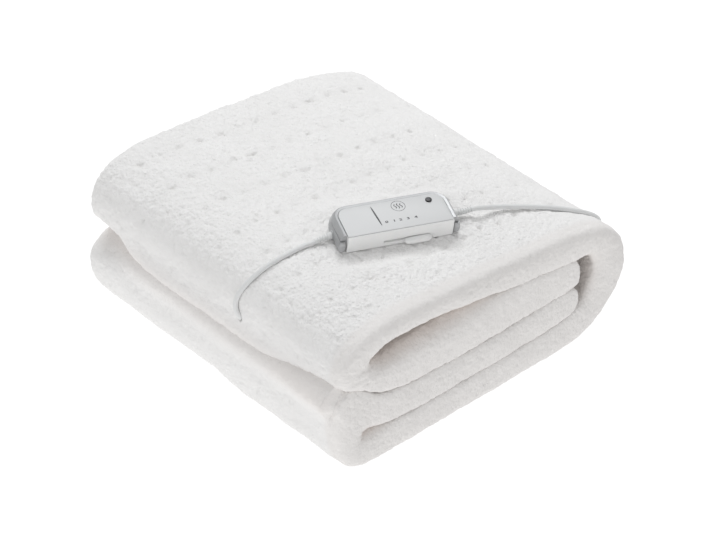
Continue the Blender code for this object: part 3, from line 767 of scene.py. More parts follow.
def addCords(material, sleeves):
    turned = Matrix.Translation(plug["place"]) @ Matrix.Rotation(math.radians(plug["turn"]), 4, "Z")
    plugEnd = [
        turned @ Vector((plug["sleeve"] + away, 0.0, plug["height"])) for away in (cords["straight"], 0.0)
    ]
    blanketRoute = eased(cordStart(cords["leftLean"]) + blanketLead)
    mainsRoute = eased(cordStart(cords["rightLean"]) + mainsLead) + coilRoute() + plugLead + plugEnd
    plugPieces = [nodes[name] for name in ("plug_body", "plug_pin_left", "plug_pin_right")]
    mainsPieces = [sleeves[1], *plugPieces]
    made = []
    for name, route, replaced, farEnd, pieces, lay in (
        ("blanketCord", blanketRoute, ["cord_blanket"], "object", [sleeves[0]], "loose"),
        ("mainsCord", mainsRoute, ["cord_mains", "cord_coil", "cord_plug"], "plug", mainsPieces, "coiled"),
    ):
        item = addCord(name, route, material)
        carry(item, "cable", *replaced)
        made.append(item)
    return made


blanket = {
    "width": 0.410,
    "flat": (0.80, 1.50),
    "usualThick": 0.036,  # of a band, to space the columns round it
    "roundSamples": 800,
    "foldRound": 0.015,
    # how square the folded edge is: 1 is a half round, less is flatter
    "foldOpen": 0.44,
    "foldTouching": 0.17,
    "foldSampled": 0.32,
    "edgeRound": 0.008,
    "slit": 0.0014,
    "slitEnd": 0.026,
    "creaseLift": 0.020,
    "creaseX": (0.060, 0.205),
    "creaseCentre": (-0.190, 0.094),
    "creaseReach": (0.030, 0.036),
    "crownDrop": 0.007,
    "crownX": (0.030, 0.200),
    "crownY": (0.060, 0.170),
    "crownZ": (0.050, 0.165),
    "footReach": 0.0045,
    "footX": (-0.020, 0.060),
    "footY": (0.150, 0.185),
    "footZ": (0.015, 0.050),
    "gape": 0.022,  # the small folds stand apart at the open edges
    "gapeX": (-0.205, -0.130),
    "gapeY": (0.150, 0.200),
    "gapeZ": (0.0945, 0.015),
    "bedMargin": (0.008, 0.036),
    "bedGap": 0.0010,
    "bedFloor": 0.150,
}
# ribs across each band of doubled cloth: outer y, outer z, inner y, inner z
bands = {
    "lowerInner": [
        (0.1325, 0.0735, 0.1325, 0.0530), (0.1285, 0.0765, 0.1285, 0.0480), (0.112, 0.0775, 0.112, 0.0450),
        (0.060, 0.0755, 0.060, 0.0415), (0.000, 0.0740, 0.000, 0.0405), (-0.060, 0.0755, -0.060, 0.0405),
        (-0.110, 0.0775, -0.110, 0.0420), (-0.145, 0.0820, -0.143, 0.0435),
    ],
    "lowerSmallFold": [
        (-0.1780, 0.0920, -0.1600, 0.0440), (-0.1985, 0.0880, -0.1690, 0.0430),
        (-0.2062, 0.0730, -0.1712, 0.0415), (-0.2070, 0.0520, -0.1712, 0.0400),
        (-0.2000, 0.0290, -0.1700, 0.0388), (-0.1860, 0.0100, -0.1660, 0.0378),
    ],
    "bottomBand": [
        (-0.163, 0.0000, -0.154, 0.0370), (-0.130, 0.0000, -0.130, 0.0368), (-0.060, 0.0000, -0.060, 0.0362),
        (0.010, 0.0000, 0.010, 0.0362), (0.070, 0.0000, 0.070, 0.0375),
    ],
    "bigFold": [
        (0.1120, 0.0000, 0.1050, 0.0395), (0.1450, 0.0045, 0.1260, 0.0430), (0.1730, 0.0185, 0.1400, 0.0515),
        (0.1940, 0.0385, 0.1490, 0.0620), (0.2055, 0.0620, 0.1550, 0.0740), (0.2070, 0.0860, 0.1585, 0.0870),
        (0.1985, 0.1120, 0.1560, 0.1010), (0.1760, 0.1330, 0.1470, 0.1105), (0.1400, 0.1470, 0.1250, 0.1175),
    ],
    "topBand": [
        (0.095, 0.1580, 0.088, 0.1260), (0.035, 0.1660, 0.031, 0.1335), (-0.025, 0.1715, -0.027, 0.1410),
        (-0.085, 0.1765, -0.085, 0.1490), (-0.128, 0.1785, -0.124, 0.1515),
    ],
    "upperSmallFold": [
        (-0.1600, 0.1750, -0.1450, 0.1490), (-0.1840, 0.1640, -0.1570, 0.1430),
        (-0.1975, 0.1460, -0.1615, 0.1360), (-0.2008, 0.1260, -0.1610, 0.1310),
        (-0.1985, 0.1055, -0.1570, 0.1280), (-0.1865, 0.0955, -0.1500, 0.1250),
    ],
    "upperInner": [
        (-0.166, 0.0925, -0.140, 0.1225), (-0.140, 0.0865, -0.125, 0.1235), (-0.110, 0.0805, -0.105, 0.1240),
        (-0.060, 0.0785, -0.060, 0.1260), (0.000, 0.0770, 0.000, 0.1290), (0.060, 0.0785, 0.060, 0.1262),
        (0.105, 0.0805, 0.105, 0.1190), (0.1285, 0.0812, 0.1285, 0.1130), (0.1325, 0.0850, 0.1325, 0.1080),
    ],
}
ribs = np.array([rib for band in bands.values() for rib in band])
ribSteps = np.hypot(*(ribs[1:, :2] - ribs[:-1, :2]).T)
ribPlaces = np.concatenate([[0.0], np.cumsum(ribSteps)])
ribEnds = np.clip(np.arange(len(ribs)) + 1, 0, len(ribs) - 1)
ribStarts = np.clip(np.arange(len(ribs)) - 1, 0, len(ribs) - 1)
ribSlopes = (ribs[ribEnds] - ribs[ribStarts]) / (ribPlaces[ribEnds] - ribPlaces[ribStarts])[:, None]
clothLength = ribPlaces[-1]
firstRib = dict(zip(bands, np.cumsum([0] + [len(band) for band in bands.values()])))


def ribsAt(along):
    k = np.clip(np.searchsorted(ribPlaces, along, side="right") - 1, 0, len(ribs) - 2)
    span = (ribPlaces[k + 1] - ribPlaces[k])[:, None]
    t = ((along - ribPlaces[k]) / span[:, 0])[:, None]
    values = (
        (2 * t**3 - 3 * t**2 + 1) * ribs[k]
        + (t**3 - 2 * t**2 + t) * ribSlopes[k] * span
        + (3 * t**2 - 2 * t**3) * ribs[k + 1]
        + (t**3 - t**2) * ribSlopes[k + 1] * span
    )
    values[:, 1] = np.maximum(values[:, 1], 0.0)
    return values


def acrossBand(values):
    # a band's outer points, the way in from them, and its thickness
    zero = np.zeros(len(values))
    outer = np.stack([zero, values[:, 0], values[:, 1]], -1)
    across = np.stack([zero, values[:, 2], values[:, 3]], -1) - outer
    thick = np.linalg.norm(across, axis=1)
    return outer, across / thick[:, None], thick


def profileColumns(step):
    # columns round the doubled cloth: x, share of the thickness, share of one cloth, share of the folded end
    half = blanket["width"] / 2
    edge, roundness, thick = blanket["edgeRound"], blanket["foldRound"], blanket["usualThick"]
    openX, foldX, slitX = -half + edge, half - roundness, half - blanket["slitEnd"]
    cloth = (thick - blanket["slit"]) / 2
    angles = np.linspace(0.0, math.pi, blanket["roundSamples"])
    bulge = np.sin(angles)
    turn = (1 - np.cos(angles)) / 2
    stretches = [
        ((slitX, openX), 0, 1, 0),
        (openX - edge * bulge, 0, 1 - turn, 0),
        ((openX, foldX), 0, 0, 0),
        (foldX, turn, 0, bulge),
        ((foldX, openX), 1, 0, 0),
        (openX - edge * bulge, 1, -turn, 0),
        ((openX, slitX), 1, -1, 0),
    ]
    rows, lengthsAcross, marks = [], [np.zeros(1)], [0]
    for stretch in stretches:
        x, shareThick, shareCloth, out = np.broadcast_arrays(*(np.asarray(part, float) for part in stretch))
        depth = shareThick * thick + shareCloth * cloth
        reach = x + roundness * out ** blanket["foldSampled"] * (out > 0)
        lengths = np.concatenate([[0.0], np.cumsum(np.hypot(np.diff(reach), np.diff(depth)))])
        count = max(1, round(lengths[-1] / step))
        places = np.linspace(0.0, lengths[-1], count + 1)
        columns = np.stack([np.interp(places, lengths, part) for part in (x, shareThick, shareCloth, out)], 1)
        rows.append(columns if not rows else columns[1:])
        lengthsAcross.append(lengthsAcross[-1][-1] + places[1:])
        marks.append(marks[-1] + count)
    return np.concatenate(rows), np.concatenate(lengthsAcross), marks


def onOuterFace(columns):
    return (columns[:, 1] == 0) & (columns[:, 2] == 0)


def settle(points):
    # a full crease, a sunken edge, a wide foot, open edges that gape, and a hollow under the control
    x, y, z = (points[..., k] for k in range(3))
    near = smoothStep(x, *blanket["creaseX"])
    awayY = (y - blanket["creaseCentre"][0]) / blanket["creaseReach"][0]
    awayZ = (z - blanket["creaseCentre"][1]) / blanket["creaseReach"][1]
    z = z + blanket["creaseLift"] * near * np.exp(-(awayY**2) - awayZ**2)
    crown = smoothStep(x, *blanket["crownX"]) * (1.0 - smoothStep(y, *blanket["crownY"]))
    z = z - blanket["crownDrop"] * crown * smoothStep(z, *blanket["crownZ"])
    foot = smoothStep(-y, *blanket["footY"]) * (1.0 - smoothStep(z, *blanket["footZ"]))
    y = y - blanket["footReach"] * foot * smoothStep(x, *blanket["footX"])
    gape = blanket["gape"] * (1.0 - smoothStep(x, *blanket["gapeX"])) * smoothStep(-y, *blanket["gapeY"])
    y = y + gape * np.exp(-(((z - blanket["gapeZ"][0]) / blanket["gapeZ"][1]) ** 2))
    settled = np.stack([x, y, z], -1)
    local = toControl(settled)
    weight = (1.0 - smoothStep(besideControl(local), *blanket["bedMargin"])) * (z > blanket["bedFloor"])
    settled[..., 2] -= weight * (local[..., 2] + blanket["bedGap"])
    return settled


# where the bands lie on each other
touch = {
    "outerZ": 0.088,
    "outerReach": (0.010, 0.018),
    "outerEnd": 0.14,
    "upperZ": 0.1,
    "upperGap": (-0.030, 0.050),
    "lowerZ": 0.06,
    "lowerGap": (-0.165, -0.125),
    "backGap": (0.128, 0.145),
    "faces": (0.35, 0.65),  # shares of the thickness where the outer face passes into the inner one
}


def touchingShares(values):
    # 1 where the outer face, or the inner face, of a band lies on the next band
    outerY, outerZ, y, z = values.T
    outer = 1.0 - smoothStep(np.abs(outerZ - touch["outerZ"]), *touch["outerReach"])
    outer = outer * (outerY < touch["outerEnd"])
    upperGap = (z > touch["upperZ"]) * (1.0 - smoothStep(y, *touch["upperGap"]))
    lowerGap = (z < touch["lowerZ"]) * (1.0 - smoothStep(y, *touch["lowerGap"]))
    inner = 1.0 - np.clip(upperGap + lowerGap + smoothStep(y, *touch["backGap"]), 0.0, 1.0)
    return outer[:, None], inner[:, None]


def clothSurface(along, columns):
    values = ribsAt(along)
    outer, inward, thick = acrossBand(values)
    x, shareThick, shareCloth, bulge = columns.T[:, None, :]
    cloth = (thick - blanket["slit"]) / 2
    depth = thick[:, None] * shareThick + cloth[:, None] * shareCloth
    points = outer[:, None, :] + inward[:, None, :] * depth[..., None]
    # the folded end is squarer where one band lies on the next than where it is free
    outerTouch, innerTouch = touchingShares(values)
    touching = outerTouch + (innerTouch - outerTouch) * smoothStep(shareThick, *touch["faces"])
    power = blanket["foldOpen"] + (blanket["foldTouching"] - blanket["foldOpen"]) * touching
    points[..., 0] += x + blanket["foldRound"] * np.where(bulge > 0, bulge, 1.0) ** power * (bulge > 0)
    return settle(points)


def gridNormals(points):
    return unit(np.cross(np.gradient(points, axis=0), np.gradient(points, axis=1)))


pile = {
    "step": 0.00138,  # between the grid lines of the pile
    "backStep": 8,  # its lines to one line of its back
    "moreLines": 2,  # that a patch takes past its borders, so that two patches agree along a shared one
    "knob": 0.0056,  # from one tuft to the next
    "knobHeight": 0.0025,
    "crumb": 0.0031,
    "crumbHeight": 0.0015,
    "clump": 0.0118,
    "clumpHeight": (0.0012, 0.0007),  # on the sides, on the top
    # the mean height of each, on the cloth's own lines and in space
    "knobMean": (0.55, 0.60),
    "crumbMean": (0.55, 0.60),
    "clumpMean": (0.60, 0.65),
    "warp": (0.017, 0.015),
    "warpReach": 0.0026,
    "puff": 0.045,
    "puffHeight": 0.0010,
    "finePuff": 0.45,  # its size in shares of the broad one
    "puffShares": (0.6, 0.5),
    "patchy": (0.80, 0.35, 0.022),  # mean, swing and size
    "sideShare": 0.56,  # how rough the sides are against the top
    "endShare": 0.54,  # and the folded end
    "endFrom": (0.002, 0.012),
    "topZ": (0.135, 0.160),
    "topSlope": (0.1, 0.7),
    "frontShare": 0.10,  # the near part of the top is rougher by this much
    "frontY": (-0.050, 0.100),
    "rightShare": 0.30,  # and its part towards the folded end
    "rightX": (0.060, 0.150),
    "touchLift": (0.0015, 0.0022),  # the folded end swells where bands meet: outer faces, inner faces
    "outerFace": (0.05, 0.40),
    "innerFace": (0.60, 0.95),
    "deepLift": 0.0064,  # and more behind the edge, so that the gaps between bands are shallow
    "deepFrom": (0.003, 0.018),
    "deepY": 0.125,
    # how far behind the folded end's edge the painted warm shade begins
    "shadeFromEdge": (-0.002, 0.014),
    "paintedShade": (0.25, 0.55, 0.45),  # painted warm shade: on the folded end, between its bands, in the crease
    "creaseFill": 0.0140,  # the pile of the two small folds meets in the line between them
    "creaseZ": (0.0945, 0.0150),
    "creaseY": (0.165, 0.180),
    "creaseX": (-0.175, -0.090),
    "tuck": 0.0042,
    "tuckWide": 0.006,
    "margin": 0.012,  # of the patches from the round edges
    "edgeMargin": 0.008,
    "innerMargin": 0.034,
    "deepMargin": 0.040,
    "thick": 0.0068,
    "endThick": 0.0034,
    "floors": (0.0003, 0.0010),  # how low the pile and its back may come
    "cordGap": 0.0003,
    "pressedAtOnce": 4000,  # points to a chunk, to keep the tables of distances small
    "seed": 11,
}
tacks = {
    # the rows run along the cloth: place across it, and how much of the bend each takes
    "rows": [
        (-0.158, 1.1), (-0.1036, 1.1), (-0.0500, 1.0), (-0.0030, 0.6),
        (0.0435, 0.5), (0.0900, 0.4), (0.1400, 0.3),
    ],
    "bend": -0.0135,
    "bendY": (0.0, 0.2),
    "pitch": 0.0257,
    "fromY": -0.0020,  # one line of tacks crosses the top here
    # where they show: first band, the band after the last, and how much
    "shown": (("lowerSmallFold", "bottomBand", 0.6), ("bigFold", "upperInner", 1.0)),
    "shownEdge": 0.010,
    "foldShare": 0.40,  # the small folds and the big fold show them less than the top does
    "foldY": (0.150, 0.185),
    "stray": 0.0008,
    "strength": (0.30, 1.15),
    "width": (0.85, 1.25),
    "creased": 0.12,  # the share of pits that are drawn out into a short crease
    "creasedLength": (1.8, 2.4),
    "roundLength": (1.0, 1.4),
    "turned": (-0.5, 0.5),
    "pitDepth": 0.0030,
    "pitRadius": 0.0024,
    "dishDepth": 0.0006,
    "dishRadius": 0.0080,
    "trough": 0.0003,
    "troughHalf": 0.011,
}
latticeSize = 512  # the random tables repeat beyond it, further than the cloth is long
spaceSize = 80
jitter = (0.8, 0.1)  # a lump's centre lies in the middle of its square
lumpHeight = (0.55, 0.45)
lumpReach = 0.80


def lumps(height, away):
    return (lumpHeight[0] + lumpHeight[1] * height) * np.sqrt(np.clip(1 - away / lumpReach, 0.0, 1.0))


def latticeNoise(u, v, size, seed):
    # smooth random field from -1 to 1, one random value to each square of that size
    table = np.random.default_rng(seed).random((latticeSize, latticeSize)) * 2 - 1
    i, j = u / size, v / size
    i0, j0 = np.floor(i).astype(int), np.floor(j).astype(int)
    fi, fj = i - i0, j - j0
    fi, fj = fi * fi * (3 - 2 * fi), fj * fj * (3 - 2 * fj)
    i0, j0, i1, j1 = i0 % latticeSize, j0 % latticeSize, (i0 + 1) % latticeSize, (j0 + 1) % latticeSize
    return (
        table[i0, j0] * (1 - fi) * (1 - fj) + table[i1, j0] * fi * (1 - fj)
        + table[i0, j1] * (1 - fi) * fj + table[i1, j1] * fi * fj
    )


def tufts(u, v, size, seed):
    # rounded lumps from 0 to 1 on a jittered lattice
    centreI, centreJ, height = np.random.default_rng(seed).random((3, latticeSize, latticeSize))
    i, j = u / size, v / size
    best = np.zeros_like(u)
    for di, dj in np.ndindex(3, 3):
        cellI, cellJ = np.floor(i).astype(int) + di - 1, np.floor(j).astype(int) + dj - 1
        k = cellI % latticeSize, cellJ % latticeSize
        awayI = i - cellI - (centreI[k] * jitter[0] + jitter[1])
        awayJ = j - cellJ - (centreJ[k] * jitter[0] + jitter[1])
        best = np.maximum(best, lumps(height[k], awayI**2 + awayJ**2))
    return best


def tuftsInSpace(points, size, seed):
    # the same lumps on a lattice in space, for faces where the cloth's own lines crowd together
    centres = np.random.default_rng(seed).random((spaceSize, spaceSize, spaceSize, 4))
    place = points / size
    best = np.zeros(points.shape[:-1])
    for step in np.ndindex(3, 3, 3):
        cell = np.floor(place).astype(int) + np.array(step) - 1
        lump = centres[tuple(np.moveaxis(cell % spaceSize, -1, 0))]
        away = ((place - cell - (lump[..., :3] * jitter[0] + jitter[1])) ** 2).sum(-1)
        best = np.maximum(best, lumps(lump[..., 3], away))
    return best


def pileHeight(u, v, calm, onTop, points, inSpace):
    seed = pile["seed"]
    warpU = latticeNoise(u, v, pile["warp"][0], seed + 1) * pile["warpReach"]
    warpV = latticeNoise(u, v, pile["warp"][1], seed + 2) * pile["warpReach"]
    knobs = tufts(u + warpU, v + warpV, pile["knob"], seed + 3) - pile["knobMean"][0]
    crumbs = tufts(u - warpV, v + warpU, pile["crumb"], seed + 4) - pile["crumbMean"][0]
    clumps = tufts(u + 2 * warpV, v - 2 * warpU, pile["clump"], seed + 10) - pile["clumpMean"][0]
    if np.any(inSpace):
        clumps += inSpace * (tuftsInSpace(points, pile["clump"], seed + 12) - pile["clumpMean"][1] - clumps)
        knobs += inSpace * (tuftsInSpace(points, pile["knob"], seed + 8) - pile["knobMean"][1] - knobs)
        crumbs += inSpace * (tuftsInSpace(points, pile["crumb"], seed + 9) - pile["crumbMean"][1] - crumbs)
    broadShare, fineShare = pile["puffShares"]
    puff = latticeNoise(u, v, pile["puff"], seed + 5) * broadShare
    puff = puff + latticeNoise(u, v, pile["puff"] * pile["finePuff"], seed + 6) * fineShare
    mean, swing, size = pile["patchy"]
    patchy = mean + swing * latticeNoise(u, v, size, seed + 7)
    height = calm * patchy * (knobs * pile["knobHeight"] + crumbs * pile["crumbHeight"])
    sideClump, topClump = pile["clumpHeight"]
    return height + puff * pile["puffHeight"] + clumps * (sideClump + (topClump - sideClump) * onTop)


def tackLines():
    # how far along the cloth each line of tacks lies
    top = slice(firstRib["topBand"], firstRib["upperSmallFold"])
    first = np.interp(-tacks["fromY"], -ribs[top, 0], ribPlaces[top])
    return np.arange(first % tacks["pitch"], clothLength, tacks["pitch"])


def tackShape(along, x, rowY):
    # pits at the tacks, no two alike, on the faces where the tacks show
    lines = tackLines()
    random = np.random.default_rng(pile["seed"] + 20)
    shape = (len(lines), len(tacks["rows"]))
    strayAlong, strayAcross = random.normal(0.0, tacks["stray"], (2, *shape))
    strength = random.uniform(*tacks["strength"], shape)
    width = random.uniform(*tacks["width"], shape)
    creased = random.random(shape) < tacks["creased"]
    drawnOut = np.where(
        creased, random.uniform(*tacks["creasedLength"], shape), random.uniform(*tacks["roundLength"], shape)
    )
    turned = random.uniform(*tacks["turned"], shape)
    shown = np.zeros(along.shape)
    for first, following, share in tacks["shown"]:
        begin, end = ribPlaces[firstRib[first]], ribPlaces[firstRib[following]]
        fromEdge = np.minimum(along - begin, end - along)
        shown = np.maximum(shown, share * smoothStep(fromEdge, 0.0, tacks["shownEdge"]))
    onFold = smoothStep(np.abs(rowY), *tacks["foldY"])
    shown = shown * (1.0 - (1.0 - tacks["foldShare"]) * onFold)
    nearest = np.argmin(np.abs(along[:, None] - lines[None, :]), axis=1)
    bend = tacks["bend"] * smoothStep(-rowY, *tacks["bendY"])
    depth = np.zeros((len(along), len(x)))
    for row, (place, bendShare) in enumerate(tacks["rows"]):
        k = (nearest, row)
        alongAway = (along - lines[nearest] - strayAlong[k])[:, None]
        acrossAway = x[None, :] - (place + bendShare * bend + strayAcross[k])[:, None]
        cosine, sine = np.cos(turned[k])[:, None], np.sin(turned[k])[:, None]
        lengthways = (alongAway * cosine + acrossAway * sine) / drawnOut[k][:, None]
        sideways = acrossAway * cosine - alongAway * sine
        away = np.hypot(lengthways, sideways * np.sqrt(drawnOut[k])[:, None])
        reach = (tacks["pitRadius"] * width[k])[:, None]
        deep = (tacks["pitDepth"] * strength[k])[:, None]
        depth += deep * np.exp(-((away / reach) ** 2))
        depth += tacks["dishDepth"] * np.exp(-((np.hypot(alongAway, acrossAway) / tacks["dishRadius"]) ** 2))
        depth += tacks["trough"] * np.exp(-((acrossAway / tacks["troughHalf"]) ** 2))
    return depth * shown[:, None]


def newMesh(name, vertices, faces, material):
    mesh = bpy.data.meshes.new(name)
    mesh.from_pydata(vertices.reshape(-1, 3).tolist(), [], faces)
    mesh.materials.append(material)
    mesh.update()
    return mesh


def gridFaces(index):
    return np.stack([index[:-1, :-1], index[1:, :-1], index[1:, 1:], index[:-1, 1:]], -1).reshape(-1, 4)


def gridMesh(name, front, normals, backing, material, attributes):
    # a closed piece: the fine grid of its front, a coarse one of its back, and its four sides
    pickRows, pickColumns = ([*range(0, size - 1, pile["backStep"]), size - 1] for size in front.shape[:2])
    picked = np.ix_(pickRows, pickColumns)
    offset = front[..., 0].size
    index = np.arange(offset).reshape(front.shape[:2])
    under = np.arange(backing[picked][..., 0].size).reshape(len(pickRows), len(pickColumns)) + offset
    faces = [*gridFaces(index).tolist(), *gridFaces(under)[:, [0, 3, 2, 1]].tolist()]
    # each side is a row of fans, from a coarse edge of the back to the fine edge of the front
    for picks, fine, coarse, turnOver in (
        (pickColumns, index[0], under[0], False),
        (pickColumns, index[-1], under[-1], True),
        (pickRows, index[:, 0], under[:, 0], True),
        (pickRows, index[:, -1], under[:, -1], False),
    ):
        for k, (a, b) in enumerate(zip(picks, picks[1:])):
            face = [int(coarse[k + 1]), int(coarse[k]), *fine[a : b + 1].tolist()]
            faces.append(face[::-1] if turnOver else face)
    vertices = np.concatenate([front.reshape(-1, 3), backing[picked].reshape(-1, 3)])
    mesh = newMesh(name, vertices, faces, material)
    mesh.shade_smooth()
    for attribute, share in attributes.items():
        layer = mesh.attributes.new(attribute, "FLOAT", "POINT")
        values = np.zeros(len(vertices), np.float32)
        values[:offset] = share.reshape(-1)
        layer.data.foreach_set("value", values)
    corners = np.concatenate([normals.reshape(-1, 3), -unit(normals[picked]).reshape(-1, 3)])
    mesh.normals_split_custom_set_from_vertices(corners.tolist())
    return newObject(name, mesh)


def pressUnder(points, push, path, radius):
    # whatever would reach into the cord goes down beside it
    moved = points.reshape(-1, 3).copy()
    low, high = path.min(0) - radius, path.max(0) + radius
    near = np.where(np.all((moved > low) & (moved < high), axis=1))[0]
    for chunk in np.array_split(near, 1 + len(near) // pile["pressedAtOnce"]):
        if not len(chunk):
            continue
        away = moved[chunk][:, None, :] - path[None, :, :]
        distance = np.linalg.norm(away, axis=2)
        closest = np.argmin(distance, axis=1)
        vector = away[np.arange(len(chunk)), closest]
        reach = distance[np.arange(len(chunk)), closest]
        inside = reach < radius
        down = -push.reshape(-1, 3)[chunk]
        along = (vector * down).sum(1)
        drop = -along + np.sqrt(np.maximum(along**2 - reach**2 + radius**2, 0.0))
        moved[chunk[inside]] += (down * drop[:, None])[inside]
    return moved.reshape(points.shape)


# the pile's ceiling in the control's frame
ceilings = {"under": -0.0004, "rise": 0.0040, "beside": (0.0002, 0.0060), "reach": 0.012, "top": 0.03}


def stayUnderControl(points):
    # the pile gives way under the hand control and rises again beside it
    local = toControl(points)
    out = besideControl(local)
    ceiling = ceilings["under"] + ceilings["rise"] * smoothStep(out, *ceilings["beside"])
    held = (out <= ceilings["reach"]) & (local[..., 2] < ceilings["top"])
    held = held & (points[..., 2] > blanket["bedFloor"])
    local[..., 2] -= np.maximum(0.0, local[..., 2] - ceiling) * held
    return fromControl(local)


base = {
    "rings": 150,
    "columns": (12, 5, 40, 14, 40, 5, 12),  # to each stretch round it
    "sink": 0.0026,
    "endShare": 0.25,  # at its own two ends the cloth comes nearly up to its pile
    "endReach": 0.010,
    "restsUnder": 0.0005,
}


def addCloth(material, columns, marks):
    # the whole cloth, under its pile
    picked = {marks[-1]}
    for start, end, count in zip(marks, marks[1:], base["columns"]):
        picked.update(round(start + (end - start) * k / count) for k in range(count))
    columns = columns[sorted(picked)]
    along = np.linspace(0.0, clothLength, base["rings"])
    values = ribsAt(along)
    surface = clothSurface(along, columns)
    fromEnd = smoothStep(np.minimum(along, clothLength - along), 0.0, base["endReach"])
    sink = base["sink"] + tackShape(along, columns[:, 0], values[:, 0])
    sink = sink * (base["endShare"] + (1.0 - base["endShare"]) * fromEnd)[:, None]
    resting = (values[:, 1] < base["restsUnder"])[:, None] & onOuterFace(columns)[None, :]
    inSlit = np.abs(columns[:, 2]) == 1
    sink = np.where(resting | inSlit[None, :], 0.0, sink)
    surface = surface - gridNormals(surface) * sink[..., None]
    surface[..., 2] = np.maximum(surface[..., 2], 0.0)
    index = np.arange(surface[..., 0].size).reshape(surface.shape[:2])
    after = np.roll(index, -1, axis=1)
    quads = np.stack([index[:-1], after[:-1], after[1:], index[1:]], -1).reshape(-1, 4)
    ends = [index[0][::-1].tolist(), index[-1].tolist()]
    mesh = newMesh("blanketCloth", surface, quads.tolist() + ends, material)
    shape = bmesh.new()
    shape.from_mesh(mesh)
    bmesh.ops.recalc_face_normals(shape, faces=shape.faces)
    shape.to_mesh(mesh)
    shape.free()
    mesh.shade_smooth()
    item = newObject("blanketCloth", mesh)
    carry(item, "fleece", "blanket")
    return item


def widened(first, last, count):
    # the lines of a patch and a few more, and where its own lie among them
    before, after = min(first, pile["moreLines"]), min(count - 1 - last, pile["moreLines"])
    return slice(first - before, last + 1 + after), slice(before, before + last + 1 - first)


def swollen(nominal, part, values, inSpace):
    # bands that touch swell into the line between them; the folded end and the gaps between its bands get a
    # painted warm shade
    outerTouch, innerTouch = touchingShares(values)
    outerSide = (1.0 - smoothStep(part[:, 1], *pile["outerFace"])) * inSpace
    innerSide = smoothStep(part[:, 1], *pile["innerFace"])
    behind = blanket["width"] / 2 - nominal[..., 0]
    deep = pile["deepLift"] * (1.0 - innerTouch) * smoothStep(behind, *pile["deepFrom"])
    deep = deep * (values[:, 0] < pile["deepY"])[:, None]
    outerLift, innerLift = pile["touchLift"]
    lift = innerSide * (innerLift * innerTouch + deep) - outerSide * outerLift * outerTouch
    endShade, gapShade, _ = pile["paintedShade"]
    paintedShade = innerSide * smoothStep(behind, *pile["shadeFromEdge"]) * (1.0 - innerTouch)
    inward = acrossBand(values)[1]
    return nominal + lift[..., None] * inward[:, None, :], endShade * inSpace + gapShade * paintedShade


def addPatch(name, patch, atFold, along, columns, across, material, cordPaths):
    row0, row1, column0, column1, thick, free = patch
    rowPart, ownRows = widened(row0, row1, len(along))
    columnPart, ownColumns = widened(column0, column1, len(columns))
    own = (ownRows, ownColumns)
    part, values = columns[columnPart], ribsAt(along[rowPart])
    u, v = np.meshgrid(along[rowPart], across[columnPart], indexing="ij")
    nominal = clothSurface(along[rowPart], part)
    normals = gridNormals(nominal)
    onTop = smoothStep(nominal[..., 2], *pile["topZ"]) * smoothStep(normals[..., 2], *pile["topSlope"])
    inSpace = smoothStep(v - across[column0], *pile["endFrom"]) * atFold
    calm = pile["sideShare"] + (1.0 - pile["sideShare"]) * onTop
    calm = calm * (1.0 + pile["frontShare"] * onTop * smoothStep(-nominal[..., 1], *pile["frontY"]))
    calm = calm * (1.0 + pile["rightShare"] * onTop * smoothStep(nominal[..., 0], *pile["rightX"]))
    calm = calm + (pile["endShare"] - calm) * inSpace
    height = pileHeight(u, v, calm, onTop, nominal, inSpace)
    paintedShade = 0.0 * u
    if atFold:
        nominal, paintedShade = swollen(nominal, part, values, inSpace)
    creaseZ, creaseHalf = pile["creaseZ"]
    crease = np.exp(-(((nominal[..., 2] - creaseZ) / creaseHalf) ** 2))
    crease = crease * smoothStep(-nominal[..., 1], *pile["creaseY"]) * (part[:, 1] == 0)
    height = height + pile["creaseFill"] * crease * smoothStep(nominal[..., 0], *pile["creaseX"])
    # the crease between the small folds gets a painted warm shade as well
    paintedShade = np.maximum(paintedShade, pile["paintedShade"][2] * crease)
    height = height - tackShape(along[rowPart], part[:, 0], values[:, 0]) * onOuterFace(part)[None, :]
    # free borders dive under the cloth
    borders = {
        "start": u - along[row0], "end": along[row1] - u,
        "first": v - across[column0], "last": across[column1] - v,
    }
    fromBorder = np.minimum.reduce([borders[word] for word in free.split()])
    height = height - pile["tuck"] * (1.0 - smoothStep(fromBorder, 0.0, pile["tuckWide"]))
    front = stayUnderControl(nominal + normals * height[..., None])
    for path in cordPaths:
        front = pressUnder(front, normals, path, cords["diameter"] / 2 + pile["cordGap"])
    backing = nominal - normals * thick
    for surface, lowest in zip((front, backing), pile["floors"]):
        surface[..., 2] = np.maximum(surface[..., 2], lowest)
    # the pile's height sets its colour: darker in its hollows, as painted shade
    depths = np.clip(height[own] / pile["knobHeight"], -3.0, 1.0)
    item = gridMesh(
        name, front[own], gridNormals(front)[own], backing[own], material,
        {"pileDepth": depths, "paintedShade": paintedShade[own], "roughness": calm[own]},
    )
    carry(item, "fleece")
    triangles = sum(len(face.vertices) - 2 for face in item.data.polygons)
    print("pile", name, front[own].shape[:2], "triangles", triangles)
    return item


